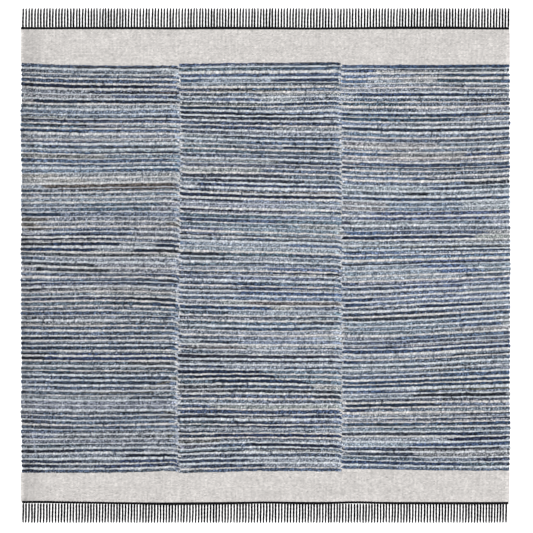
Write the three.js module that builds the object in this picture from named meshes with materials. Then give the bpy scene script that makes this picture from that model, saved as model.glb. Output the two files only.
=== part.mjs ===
// A flatwoven kilim rug that lies flat on the floor: a ribbed body woven in three columns, plain bands
// at its two ends, and at each end a twined edging with a knotted warp fringe.
// Millimetres, +Z up. The origin is on the floor under the rug's middle, and +Y runs to its far end.

import * as THREE from 'three';

// Heights above the floor.
const GROOVE_HEIGHT = 4.0;
const BAND_HEIGHT = 4.6;
const RIB_HEIGHT = 6.0;
const EDGING_HEIGHT = 5.6;
const STRAND_HEIGHT = 4.4;

// Sizes across the weave. A rib is one thick coloured row, and the groove between is the thin pale row.
const RIB_CREST = 8;
const RIB_END_TAPER = 7;
const SEAM_WIDTH = 4;
const BAND_EDGE_TAPER = 7;

// The end pieces. The fringe reaches from the edging to the tip line.
const PIECE_GAP = 0.3;
const EDGING_WIDTH = 9;
const EDGING_CHAMFER = 1.6;
const TIP_LINE = 965.5;
const STRANDS_PER_END = 150;
const STRAND_WIDTH = 5.2;
const STRAND_TIP_SHARE = 0.72;
const STRAND_TIP_LEAN = 1.6;
const STRAND_LENGTH_SPREAD = 2.2;

// The long lines of the rug, seen from above: the two selvedges, and the two seams between the columns.
const LONG_LINES = [
  { y: 888, left: -916, leftSeam: -326, rightSeam: 283, right: 917 },
  { y: 640, left: -917, leftSeam: -322, rightSeam: 285.5, right: 919 },
  { y: 520, left: -921, leftSeam: -320, rightSeam: 287, right: 919.5 },
  { y: 400, left: -917.5, leftSeam: -318.5, rightSeam: 288, right: 918.5 },
  { y: 50, left: -919, leftSeam: -323.5, rightSeam: 286.5, right: 920.5 },
  { y: -180, left: -918.5, leftSeam: -326, rightSeam: 287.5, right: 921 },
  { y: -530, left: -918.5, leftSeam: -330, rightSeam: 289, right: 919.5 },
  { y: -645, left: -917.5, leftSeam: -328, rightSeam: 288, right: 921 },
  { y: -760, left: -915.5, leftSeam: -326, rightSeam: 287, right: 917.5 },
  { y: -888, left: -915.5, leftSeam: -324, rightSeam: 286.5, right: 915 },
];

// The two ends of the body, which the edgings follow.
const END_LINES = [
  { x: -917, far: 890, near: -885.5 },
  { x: -450, far: 889.5, near: -889 },
  { x: 0, far: 888.5, near: -886 },
  { x: 450, far: 889.5, near: -887.5 },
  { x: 917, far: 889, near: -887 },
];

// The woven columns. firstRib and lastRib are the middles of the outermost ribs at mid-column. Each sway
// row gives the slope of the ribs near that height: tilt at mid-column, bow and twist towards the sides.
const COLUMNS = [
  {
    from: 'left',
    to: 'leftSeam',
    ribs: 83,
    firstRib: 748,
    lastRib: -776,
    sway: [
      { y: 750, tilt: -0.01, bow: 0.03, twist: -0.01 },
      { y: 525, tilt: 0.003, bow: 0.007, twist: -0.027 },
      { y: 300, tilt: 0.018, bow: 0, twist: -0.02 },
      { y: 75, tilt: -0.003, bow: -0.01, twist: -0.013 },
      { y: -150, tilt: 0.008, bow: -0.019, twist: -0.038 },
      { y: -330, tilt: 0, bow: -0.01, twist: 0 },
      { y: -525, tilt: 0, bow: 0.005, twist: -0.035 },
      { y: -750, tilt: 0.01, bow: 0.03, twist: 0 },
    ],
  },
  {
    from: 'leftSeam',
    to: 'rightSeam',
    ribs: 84,
    firstRib: 757.5,
    lastRib: -767,
    sway: [
      { y: 750, tilt: 0.007, bow: 0, twist: 0.015 },
      { y: 525, tilt: -0.017, bow: 0.006, twist: 0.011 },
      { y: 300, tilt: -0.027, bow: 0.02, twist: -0.002 },
      { y: 75, tilt: -0.02, bow: 0, twist: -0.003 },
      { y: -150, tilt: -0.02, bow: 0.018, twist: 0.019 },
      { y: -330, tilt: -0.01, bow: 0.006, twist: 0.001 },
      { y: -525, tilt: -0.01, bow: -0.025, twist: 0.02 },
      { y: -750, tilt: 0.01, bow: -0.03, twist: 0.01 },
    ],
  },
  {
    from: 'rightSeam',
    to: 'right',
    ribs: 83,
    firstRib: 749.5,
    lastRib: -763.5,
    sway: [
      { y: 750, tilt: 0.005, bow: 0.01, twist: -0.005 },
      { y: 525, tilt: 0.003, bow: 0.039, twist: 0.007 },
      { y: 300, tilt: 0.01, bow: 0.06, twist: -0.017 },
      { y: 75, tilt: 0.02, bow: 0.013, twist: -0.004 },
      { y: -150, tilt: 0.049, bow: 0.018, twist: -0.019 },
      { y: -330, tilt: 0.056, bow: 0.036, twist: -0.045 },
      { y: -525, tilt: 0.017, bow: 0.004, twist: 0.008 },
      { y: -750, tilt: -0.02, bow: 0.01, twist: 0.03 },
    ],
  },
];

// Where the flat underside is divided along the rug.
const UNDERSIDE_STEPS = 10;

// Reads one named column of a table at a place between its rows.
function readTable(table, key, place, column) {
  const rising = table[0][key] < table.at(-1)[key];
  const rows = rising ? table : [...table].reverse();
  const last = rows.length - 1;
  const next = rows.findIndex((row) => row[key] > place);
  const upper = next === -1 ? last : Math.max(next, 1);
  const low = rows[upper - 1];
  const high = rows[upper];
  const share = THREE.MathUtils.clamp((place - low[key]) / (high[key] - low[key]), 0, 1);
  return THREE.MathUtils.lerp(low[column], high[column], share);
}

const longLine = (name, y) => readTable(LONG_LINES, 'y', y, name);
const endLine = (name, x) => readTable(END_LINES, 'x', x, name);

// A closed skin of triangles over shared points. Lines are lists of point numbers.
class Skin {
  constructor() {
    this.positions = [];
    this.corners = [];
  }

  point(x, y, z) {
    this.positions.push(x, y, z);
    return this.positions.length / 3 - 1;
  }

  line(places) {
    return places.map(([x, y, z]) => this.point(x, y, z));
  }

  triangle(a, b, c) {
    this.corners.push(a, b, c);
  }

  quad(a, b, c, d) {
    this.triangle(a, b, c);
    this.triangle(a, c, d);
  }

  // Fills the strip between two lines that run the same way. It faces along run x (near to far).
  zip(near, far, axis) {
    const at = (line, step) => this.positions[line[step] * 3 + axis];
    const sign = Math.sign(at(near, near.length - 1) - at(near, 0));
    const reach = (line, step) => (step < line.length ? sign * at(line, step) : Infinity);
    let i = 1;
    let j = 1;
    while (i < near.length || j < far.length) {
      if (reach(near, i) <= reach(far, j)) {
        this.triangle(near[i - 1], near[i], far[j - 1]);
        i += 1;
      } else {
        this.triangle(near[i - 1], far[j], far[j - 1]);
        j += 1;
      }
    }
  }

  geometry() {
    const geometry = new THREE.BufferGeometry();
    geometry.setAttribute('position', new THREE.Float32BufferAttribute(this.positions, 3));
    geometry.setIndex(this.corners);
    geometry.computeVertexNormals();
    return geometry;
  }
}

const ALONG_X = 0;
const ALONG_Y = 1;

// The places across one column where its ribs have points, from -1 at its left side to 1 at its right.
function columnStations(column, y) {
  const halfWidth = (longLine(column.to, y) - longLine(column.from, y)) / 2;
  const full = 1 - (RIB_END_TAPER + SEAM_WIDTH / 2) / halfWidth;
  return [-1, -full, -full / 3, full / 3, full, 1];
}

// A point of the weave: the level is where the rib meets mid-column, and across is a station.
function wovenPlace(column, level, across, height) {
  const sway = (name) => readTable(column.sway, 'y', level, name);
  const halfWidth = (longLine(column.to, level) - longLine(column.from, level)) / 2;
  const tilted = sway('tilt') * across;
  const bowed = (sway('bow') * across ** 2) / 2;
  const twisted = (sway('twist') * across ** 3) / 3;
  const y = level + halfWidth * (tilted + bowed + twisted);
  return [columnX(column, y, across), y, height];
}

// Where a station lies across the rug. Beside a seam a column stops half a seam width short of it.
function columnX(column, y, across) {
  const inset = (side) => (side.endsWith('Seam') ? SEAM_WIDTH / 2 : 0);
  const left = longLine(column.from, y) + inset(column.from);
  const right = longLine(column.to, y) - inset(column.to);
  return THREE.MathUtils.lerp(left, right, (across + 1) / 2);
}

// The lines of one column from its far end: a groove, then the two crest lines and groove of each rib.
function columnLines(skin, column) {
  const pitch = (column.firstRib - column.lastRib) / (column.ribs - 1);
  const wovenLine = (level, height) => {
    const stations = columnStations(column, level);
    const ends = [0, stations.length - 1];
    const places = stations.map((across, index) => {
      const pointHeight = ends.includes(index) ? GROOVE_HEIGHT : height;
      return wovenPlace(column, level, across, pointHeight);
    });
    return skin.line(places);
  };
  const lines = [wovenLine(column.firstRib + pitch / 2, GROOVE_HEIGHT)];
  for (let rib = 0; rib < column.ribs; rib += 1) {
    const middle = column.firstRib - rib * pitch;
    lines.push(wovenLine(middle + RIB_CREST / 2, RIB_HEIGHT));
    lines.push(wovenLine(middle - RIB_CREST / 2, RIB_HEIGHT));
    lines.push(wovenLine(middle - pitch / 2, GROOVE_HEIGHT));
  }
  return lines;
}

// The places across the whole rug at one of its ends, which the body and the edging share.
function endPlaces(end, offset, height) {
  const level = end === 'far' ? LONG_LINES[0].y : LONG_LINES.at(-1).y;
  return COLUMNS.flatMap((column) => (
    columnStations(column, level).map((across) => {
      const x = columnX(column, level, across);
      return [x, endLine(end, x) + offset, height];
    })
  ));
}

// The band between a column's outermost groove and the body's end: its own line beside the groove.
function bandLine(skin, borderLine, taper) {
  return skin.line(borderLine.map((index) => {
    const x = skin.positions[index * 3];
    const y = skin.positions[index * 3 + 1];
    return [x, y + taper, BAND_HEIGHT];
  }));
}

// The underside: level lines from the far end to the near end, all on the floor.
function undersideLines(skin) {
  const lines = [skin.line(endPlaces('far', 0, 0))];
  for (let step = 1; step < UNDERSIDE_STEPS; step += 1) {
    const y = THREE.MathUtils.lerp(LONG_LINES[0].y, LONG_LINES.at(-1).y, step / UNDERSIDE_STEPS);
    const places = COLUMNS.flatMap((column) => (
      columnStations(column, y).map((across) => [columnX(column, y, across), y, 0])
    ));
    lines.push(skin.line(places));
  }
  lines.push(skin.line(endPlaces('near', 0, 0)));
  return lines;
}

// The body is one flat cloth: ribs on its upper face, a flat underside, and walls as high as the cloth.
function makeBody() {
  const skin = new Skin();
  const columns = COLUMNS.map((column) => columnLines(skin, column));
  columns.forEach((lines) => {
    for (let step = 1; step < lines.length; step += 1) {
      skin.zip(lines[step], lines[step - 1], ALONG_X);
    }
  });

  for (let seam = 1; seam < columns.length; seam += 1) {
    const leftSide = columns[seam - 1].map((line) => line.at(-1));
    const rightSide = columns[seam].map((line) => line[0]);
    skin.zip(leftSide, rightSide, ALONG_Y);
  }

  const farBorder = columns.flatMap((lines) => lines[0]);
  const nearBorder = columns.flatMap((lines) => lines.at(-1));
  const farBand = bandLine(skin, farBorder, BAND_EDGE_TAPER);
  const nearBand = bandLine(skin, nearBorder, -BAND_EDGE_TAPER);
  const farEnd = skin.line(endPlaces('far', 0, BAND_HEIGHT));
  const nearEnd = skin.line(endPlaces('near', 0, BAND_HEIGHT));
  skin.zip(farBorder, farBand, ALONG_X);
  skin.zip(farBand, farEnd, ALONG_X);
  skin.zip(nearBand, nearBorder, ALONG_X);
  skin.zip(nearEnd, nearBand, ALONG_X);

  const underside = undersideLines(skin);
  for (let step = 1; step < underside.length; step += 1) {
    skin.zip(underside[step - 1], underside[step], ALONG_X);
  }
  skin.zip(farEnd, underside[0], ALONG_X);
  skin.zip(underside.at(-1), nearEnd, ALONG_X);

  const leftWall = [farEnd, farBand, ...columns[0], nearBand, nearEnd].map((line) => line[0]);
  const rightWall = [farEnd, farBand, ...columns.at(-1), nearBand, nearEnd].map((line) => line.at(-1));
  skin.zip(underside.map((line) => line[0]), leftWall, ALONG_Y);
  skin.zip(rightWall, underside.map((line) => line.at(-1)), ALONG_Y);
  return skin.geometry();
}

// One strand with three sides, flat on the floor, between its root on the edging and its tip.
function strandPlaces(end, index, side) {
  const left = longLine('left', side * LONG_LINES[0].y);
  const right = longLine('right', side * LONG_LINES[0].y);
  const pitch = (right - left) / STRANDS_PER_END;
  const middle = left + (index + 0.5) * pitch;
  const lean = STRAND_TIP_LEAN * Math.sin(index * 1.7 + side);
  const short = STRAND_LENGTH_SPREAD * Math.sin(index * 0.83 + 2 * side) ** 2;
  const rootLine = endLine(end, middle) + side * (PIECE_GAP + EDGING_WIDTH);
  const rootSetback = side * EDGING_CHAMFER * (STRAND_HEIGHT / EDGING_HEIGHT);
  const topSetback = side * EDGING_CHAMFER;
  const tip = side * (TIP_LINE - short);
  const tipHalf = (STRAND_WIDTH / 2) * STRAND_TIP_SHARE;
  return {
    rootLeft: [middle - STRAND_WIDTH / 2, rootLine, 0],
    rootRight: [middle + STRAND_WIDTH / 2, rootLine, 0],
    rootRidge: [middle, rootLine - rootSetback, STRAND_HEIGHT],
    edgingTop: [middle, rootLine - topSetback, EDGING_HEIGHT],
    tipLeft: [middle + lean - tipHalf, tip, 0],
    tipRight: [middle + lean + tipHalf, tip, 0],
    tipRidge: [middle + lean, tip, STRAND_HEIGHT * STRAND_TIP_SHARE],
  };
}

// The strand's own faces, and the part of the edging's wall around its root.
function addStrand(skin, place) {
  const number = Object.fromEntries(
    Object.entries(place).map(([name, [x, y, z]]) => [name, skin.point(x, y, z)]),
  );
  const { rootLeft, rootRight, rootRidge, edgingTop, tipLeft, tipRight, tipRidge } = number;
  skin.quad(rootLeft, rootRidge, tipRidge, tipLeft);
  skin.quad(rootRidge, rootRight, tipRight, tipRidge);
  skin.quad(rootRight, rootLeft, tipLeft, tipRight);
  skin.triangle(tipLeft, tipRidge, tipRight);
  skin.triangle(rootLeft, edgingTop, rootRidge);
  skin.triangle(rootRidge, edgingTop, rootRight);
  return number;
}

// Turns a skin that was built for the far end inside out, for the near end.
function mirroredCorners(corners) {
  const flipped = [];
  for (let start = 0; start < corners.length; start += 3) {
    flipped.push(corners[start], corners[start + 2], corners[start + 1]);
  }
  return flipped;
}

// An edging strip with the fringe that grows from it. Its inner side follows the body at a small gap.
function makeFringe(end) {
  const side = end === 'far' ? 1 : -1;
  const skin = new Skin();
  const gap = side * PIECE_GAP;
  const innerTop = skin.line(endPlaces(end, gap, EDGING_HEIGHT));
  const innerFoot = skin.line(endPlaces(end, gap, 0));
  const cornerPlace = (inner, height, setback) => {
    const [x, y] = [skin.positions[inner * 3], skin.positions[inner * 3 + 1]];
    return [x, y + side * (EDGING_WIDTH - setback), height];
  };
  const corner = (inner, height, setback) => skin.point(...cornerPlace(inner, height, setback));
  const startFoot = corner(innerFoot[0], 0, 0);
  const startTop = corner(innerFoot[0], EDGING_HEIGHT, EDGING_CHAMFER);
  const endFoot = corner(innerFoot.at(-1), 0, 0);
  const endTop = corner(innerFoot.at(-1), EDGING_HEIGHT, EDGING_CHAMFER);

  const strands = [];
  for (let index = 0; index < STRANDS_PER_END; index += 1) {
    strands.push(addStrand(skin, strandPlaces(end, index, side)));
  }

  let foot = startFoot;
  let top = startTop;
  strands.forEach((strand) => {
    skin.quad(foot, top, strand.edgingTop, strand.rootLeft);
    foot = strand.rootRight;
    top = strand.edgingTop;
  });
  skin.quad(foot, top, endTop, endFoot);

  const outerTop = [startTop, ...strands.map((strand) => strand.edgingTop), endTop];
  const outerFoot = [startFoot, ...strands.flatMap((s) => [s.rootLeft, s.rootRight]), endFoot];
  skin.zip(innerTop, outerTop, ALONG_X);
  skin.zip(outerFoot, innerFoot, ALONG_X);
  skin.zip(innerFoot, innerTop, ALONG_X);
  skin.quad(startFoot, innerFoot[0], innerTop[0], startTop);
  skin.quad(innerFoot.at(-1), endFoot, endTop, innerTop.at(-1));
  if (side === -1) {
    skin.corners = mirroredCorners(skin.corners);
  }
  return skin.geometry();
}

// Colours of the yarns: the mean of the mixed blue and cream cloth, and the charcoal end yarns.
const CLOTH_COLOUR = 0x8e949e;
const CHARCOAL_COLOUR = 0x2d2f33;
const YARN_ROUGHNESS = 0.95;

function yarnMesh(name, geometry, colour) {
  const material = new THREE.MeshStandardMaterial({
    color: colour,
    roughness: YARN_ROUGHNESS,
    metalness: 0,
  });
  const mesh = new THREE.Mesh(geometry, material);
  mesh.name = name;
  return mesh;
}

const rug = new THREE.Group();
rug.add(yarnMesh('rug_body', makeBody(), CLOTH_COLOUR));
rug.add(yarnMesh('fringe_far', makeFringe('far'), CHARCOAL_COLOUR));
rug.add(yarnMesh('fringe_near', makeFringe('near'), CHARCOAL_COLOUR));

export default rug;
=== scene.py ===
"""A flatwoven kilim rug lying flat on a pale floor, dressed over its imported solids.

The rug is woven in three columns side by side. Each row is two thick picks of recycled rag yarn and one
pale cotton pick. The two ends have a plain cream band, a twined charcoal edging and a cord fringe.
Tables and sizes are in millimetres, in the rug's own frame, and meshes are made in metres.
"""

from __future__ import annotations

import logging
import math
from collections.abc import Iterator
from dataclasses import dataclass, field
from enum import Enum
from functools import reduce
from typing import NamedTuple

import bmesh
import bpy
import numpy as np
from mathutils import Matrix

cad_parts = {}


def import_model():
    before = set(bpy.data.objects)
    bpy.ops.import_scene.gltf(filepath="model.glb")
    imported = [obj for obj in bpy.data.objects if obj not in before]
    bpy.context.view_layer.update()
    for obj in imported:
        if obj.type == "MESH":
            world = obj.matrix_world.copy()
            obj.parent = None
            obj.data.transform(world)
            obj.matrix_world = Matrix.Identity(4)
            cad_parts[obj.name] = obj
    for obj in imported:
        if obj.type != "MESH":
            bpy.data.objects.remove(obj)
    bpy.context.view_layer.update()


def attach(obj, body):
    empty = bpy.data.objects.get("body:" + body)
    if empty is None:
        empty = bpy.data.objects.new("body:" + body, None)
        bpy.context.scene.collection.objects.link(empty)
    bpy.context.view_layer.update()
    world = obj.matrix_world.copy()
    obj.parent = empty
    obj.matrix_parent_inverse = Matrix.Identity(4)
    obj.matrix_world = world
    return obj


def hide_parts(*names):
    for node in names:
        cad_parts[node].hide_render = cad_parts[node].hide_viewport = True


LOG = logging.getLogger("kilim")
MM = 0.001
BODY = "root"
CLOTH_NODE = "rug_body"

Array = np.ndarray
Chance = np.random.Generator
Colour = tuple[float, float, float]
Material = bpy.types.Material
Mesh = bpy.types.Mesh
Node = bpy.types.Node
NodeTree = bpy.types.NodeTree
Piece = bpy.types.Object
Range = tuple[float, float]
Socket = bpy.types.NodeSocket


# The layout of the rug, in millimetres.


class Curve(NamedTuple):
    """A value that is known at some places, in rising order, and read between them."""

    places: tuple[float, ...]
    values: tuple[float, ...]

    def at(self, where: Array) -> Array:
        """The value at these places."""
        return np.interp(where, self.places, self.values)


class Sway(NamedTuple):
    """The slope of a column's rows at the sway heights: at mid-column, and how it changes sideways."""

    tilt: tuple[float, ...]
    bow: tuple[float, ...]
    twist: tuple[float, ...]


# How far across the rug its selvedges and seams lie, at these heights.
CLOTH_END = 888.0
HEIGHTS = (-CLOTH_END, -760, -645, -530, -180, 50, 400, 520, 640, CLOTH_END)
LEFT_EDGE = Curve(HEIGHTS, (-915.5, -915.5, -917.5, -918.5, -918.5, -919, -917.5, -921, -917, -916))
LEFT_SEAM = Curve(HEIGHTS, (-324, -326, -328, -330, -326, -323.5, -318.5, -320, -322, -326))
RIGHT_SEAM = Curve(HEIGHTS, (286.5, 287, 288, 289, 287.5, 286.5, 288, 287, 285.5, 283))
RIGHT_EDGE = Curve(HEIGHTS, (915, 917.5, 921, 919.5, 921, 920.5, 918.5, 919.5, 919, 917))

# Where the cloth ends, at these places across it.
ACROSS = (-917, -450, 0, 450, 917)
FAR_END = Curve(ACROSS, (890, 889.5, 888.5, 889.5, 889))
NEAR_END = Curve(ACROSS, (-885.5, -889, -886, -887.5, -887))

SWAY_HEIGHTS = (-750, -525, -330, -150, 75, 300, 525, 750)
LEFT_SWAY = Sway(
    tilt=(0.01, 0.0, 0.0, 0.008, -0.003, 0.018, 0.003, -0.01),
    bow=(0.03, 0.005, -0.01, -0.019, -0.01, 0.0, 0.007, 0.03),
    twist=(0.0, -0.035, 0.0, -0.038, -0.013, -0.02, -0.027, -0.01),
)
MIDDLE_SWAY = Sway(
    tilt=(0.01, -0.01, -0.01, -0.02, -0.02, -0.027, -0.017, 0.007),
    bow=(-0.03, -0.025, 0.006, 0.018, 0.0, 0.02, 0.006, 0.0),
    twist=(0.01, 0.02, 0.001, 0.019, -0.003, -0.002, 0.011, 0.015),
)
RIGHT_SWAY = Sway(
    tilt=(-0.02, 0.017, 0.056, 0.049, 0.02, 0.01, 0.003, 0.005),
    bow=(0.01, 0.004, 0.036, 0.018, 0.013, 0.06, 0.039, 0.01),
    twist=(0.03, 0.008, -0.045, -0.019, -0.004, -0.017, 0.007, -0.005),
)


class End(Enum):
    """The two ends of the rug. The value is the direction of +Y there."""

    FAR = 1
    NEAR = -1

    @property
    def word(self) -> str:
        """The end's name in pieces and CAD nodes."""
        return self.name.lower()

    def line(self, x: Array) -> Array:
        """Where the body ends at these places across the rug."""
        return (FAR_END if self is End.FAR else NEAR_END).at(x)


@dataclass(frozen=True)
class ColumnPlan:
    """Where one woven column and its rows lie.

    The first and last rib are the middles of the outermost rag rows at mid-column.
    """

    name: str
    left_line: Curve
    right_line: Curve
    rows: int
    first_rib: float
    last_rib: float
    sway: Sway
    seam_dip: float = 3.4
    seam_rise: float = 1.4
    seam_reach: float = 15.0

    @property
    def seam_left(self) -> bool:
        """Whether a seam, and not a selvedge, is on the column's left."""
        return self.left_line is not LEFT_EDGE

    @property
    def seam_right(self) -> bool:
        """Whether a seam, and not a selvedge, is on the column's right."""
        return self.right_line is not RIGHT_EDGE

    @property
    def width(self) -> float:
        """The column's width at mid-height."""
        return float(2 * self.half_width(0.0))

    @property
    def pitch(self) -> float:
        """The distance from one rag row to the next at mid-column."""
        return (self.first_rib - self.last_rib) / (self.rows - 1)

    def half_width(self, y: Array) -> Array:
        """Half the column's width at these heights."""
        return (self.right_line.at(y) - self.left_line.at(y)) / 2

    def x_at(self, y: Array, across: Array) -> Array:
        """Where a station across the column, from -1 to 1, lies at these heights."""
        return self.left_line.at(y) + self.half_width(y) * (across + 1)

    def path(self, level: Array, across: Array) -> Array:
        """Follows a row sideways from its level at mid-column.

        Args:
            level: the row's height at mid-column.
            across: where to read it, from -1 at the column's left to 1 at its right.

        Returns:
            The row's height there. Near a seam it bends towards its neighbour's rows.
        """
        half = self.half_width(level)
        tilt, bow, twist = (np.interp(level, SWAY_HEIGHTS, slopes) for slopes in self.sway)
        y = level + half * (tilt * across + bow * across**2 / 2 + twist * across**3 / 3)
        if self.seam_right:
            y = y - self.seam_dip * np.exp(-(((1 - across) * half / self.seam_reach) ** 2))
        if self.seam_left:
            y = y + self.seam_rise * np.exp(-(((1 + across) * half / self.seam_reach) ** 2))
        return y


COLUMNS = (
    ColumnPlan("left", LEFT_EDGE, LEFT_SEAM, rows=83, first_rib=748, last_rib=-771.5, sway=LEFT_SWAY),
    ColumnPlan("middle", LEFT_SEAM, RIGHT_SEAM, rows=84, first_rib=757.5, last_rib=-765.5, sway=MIDDLE_SWAY),
    ColumnPlan("right", RIGHT_SEAM, RIGHT_EDGE, rows=83, first_rib=749.5, last_rib=-761.5, sway=RIGHT_SWAY),
)


class Cells(NamedTuple):
    """How large the cells of a noise are in its two directions, and at which cells it starts."""

    a: float
    b: float
    a_start: float = 0.0
    b_start: float = 0.0


@dataclass(frozen=True)
class SoftNoise:
    """Seeded noise from -1 to 1 that changes smoothly in two directions."""

    seed: int
    cells: int = 128

    def at(self, a: Array, b: Array) -> Array:
        """Reads the noise.

        Args:
            a: places along its first direction, in cells.
            b: places along its second direction, in cells.

        Returns:
            The noise at each place.
        """
        table = np.random.default_rng(self.seed).uniform(-1, 1, (self.cells, self.cells))
        low_a, low_b = np.floor(a).astype(int), np.floor(b).astype(int)
        share_a, share_b = a - low_a, b - low_b
        share_a = share_a**2 * (3 - 2 * share_a)
        share_b = share_b**2 * (3 - 2 * share_b)
        rows, next_rows = low_a % self.cells, (low_a + 1) % self.cells
        columns, next_columns = low_b % self.cells, (low_b + 1) % self.cells
        first = table[rows, columns] * (1 - share_b) + table[rows, next_columns] * share_b
        second = table[next_rows, columns] * (1 - share_b) + table[next_rows, next_columns] * share_b
        return first * (1 - share_a) + second * share_a

    def over(self, a: Array, b: Array, cells: Cells) -> Array:
        """Reads the noise at places that are not counted in cells."""
        return self.at(a / cells.a + cells.a_start, b / cells.b + cells.b_start)


# Shader nodes: a short way to write them, and the effects that several finishes share.


def linear(red: float, green: float, blue: float) -> Colour:
    """Turns a colour as seen on screen, from 0 to 255, into the linear values that shaders use."""
    return tuple(((v / 255 + 0.055) / 1.055) ** 2.4 if v > 10 else v / 3294.6 for v in (red, green, blue))


class NodeBoard:
    """Writes shader nodes into one node tree."""

    def __init__(self, tree: NodeTree) -> None:
        """Starts on a tree, which may hold nodes already."""
        self.tree = tree

    def feed(self, socket: Socket, value: object) -> None:
        """Gives an input a number, a colour of three values, or a link from another socket."""
        if isinstance(value, Socket):
            self.tree.links.new(value, socket)
        else:
            socket.default_value = (*value, 1.0) if isinstance(value, tuple) else value

    def add(self, kind: str, inputs: dict | None = None, **settings: object) -> Node:
        """Adds a node.

        Args:
            kind: the node's type name.
            inputs: a value or a socket for each of its inputs, by name or number.
            settings: values for its properties.

        Returns:
            The new node.
        """
        node = self.tree.nodes.new(kind)
        for name, value in settings.items():
            setattr(node, name, value)
        for name, value in (inputs or {}).items():
            self.feed(node.inputs[name], value)
        return node

    def math(self, operation: str, first: object, second: object = 0.0, clamp: bool = False) -> Socket:
        """One Math node of two values, and its result."""
        inputs = {0: first, 1: second}
        return self.add("ShaderNodeMath", inputs, operation=operation, use_clamp=clamp).outputs[0]

    def gain(self, value: object, amount: float, base: object = 1.0) -> Socket:
        """A value times an amount, added to a base."""
        node = self.add("ShaderNodeMath", {0: value, 1: amount, 2: base}, operation="MULTIPLY_ADD")
        return node.outputs[0]

    def product(self, *values: Socket) -> Socket:
        """Some values multiplied together."""
        return reduce(lambda first, second: self.math("MULTIPLY", first, second), values)

    def total(self, *parts: tuple[Socket, float]) -> Socket:
        """The sum of some values, each times its own weight."""
        weighted = [self.math("MULTIPLY", value, weight) for value, weight in parts]
        return reduce(lambda first, second: self.math("ADD", first, second), weighted)

    def ramp(self, value: object, low: float, high: float, start: float = 0.0, end: float = 1.0) -> Socket:
        """Maps a value from one range to another, softly and clamped."""
        inputs = {"Value": value, "From Min": low, "From Max": high, "To Min": start, "To Max": end}
        node = self.add("ShaderNodeMapRange", inputs, interpolation_type="SMOOTHSTEP")
        return node.outputs["Result"]

    def mix(self, share: object, first: object, second: object, blend: str = "MIX") -> Socket:
        """Mixes two colours by a share, and returns the mixed colour."""
        node = self.add("ShaderNodeMix", {"Factor": share}, data_type="RGBA", blend_type=blend)
        for name, value in (("A", first), ("B", second)):
            self.feed(next(s for s in node.inputs if s.name == name and s.type == "RGBA"), value)
        return next(s for s in node.outputs if s.type == "RGBA")

    def vector(self, x: object, y: object, z: object = 0.0) -> Socket:
        """A vector of three values."""
        return self.add("ShaderNodeCombineXYZ", {"X": x, "Y": y, "Z": z}).outputs[0]

    def noise(self, place: Socket, scale: float, detail: float = 2.0, roughness: float = 0.5) -> Socket:
        """A noise value from 0 to 1 at a place."""
        inputs = {"Vector": place, "Scale": scale, "Detail": detail, "Roughness": roughness}
        return self.add("ShaderNodeTexNoise", inputs).outputs["Fac"]


class Effect(Enum):
    """The shared effects, each a node group that is built once."""

    YARN_TWIST = "yarn twist"
    FIBRE_FUZZ = "fibre fuzz"
    RAG_MOTTLE = "rag mottle"
    RAG_FOLDS = "rag folds"


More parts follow.
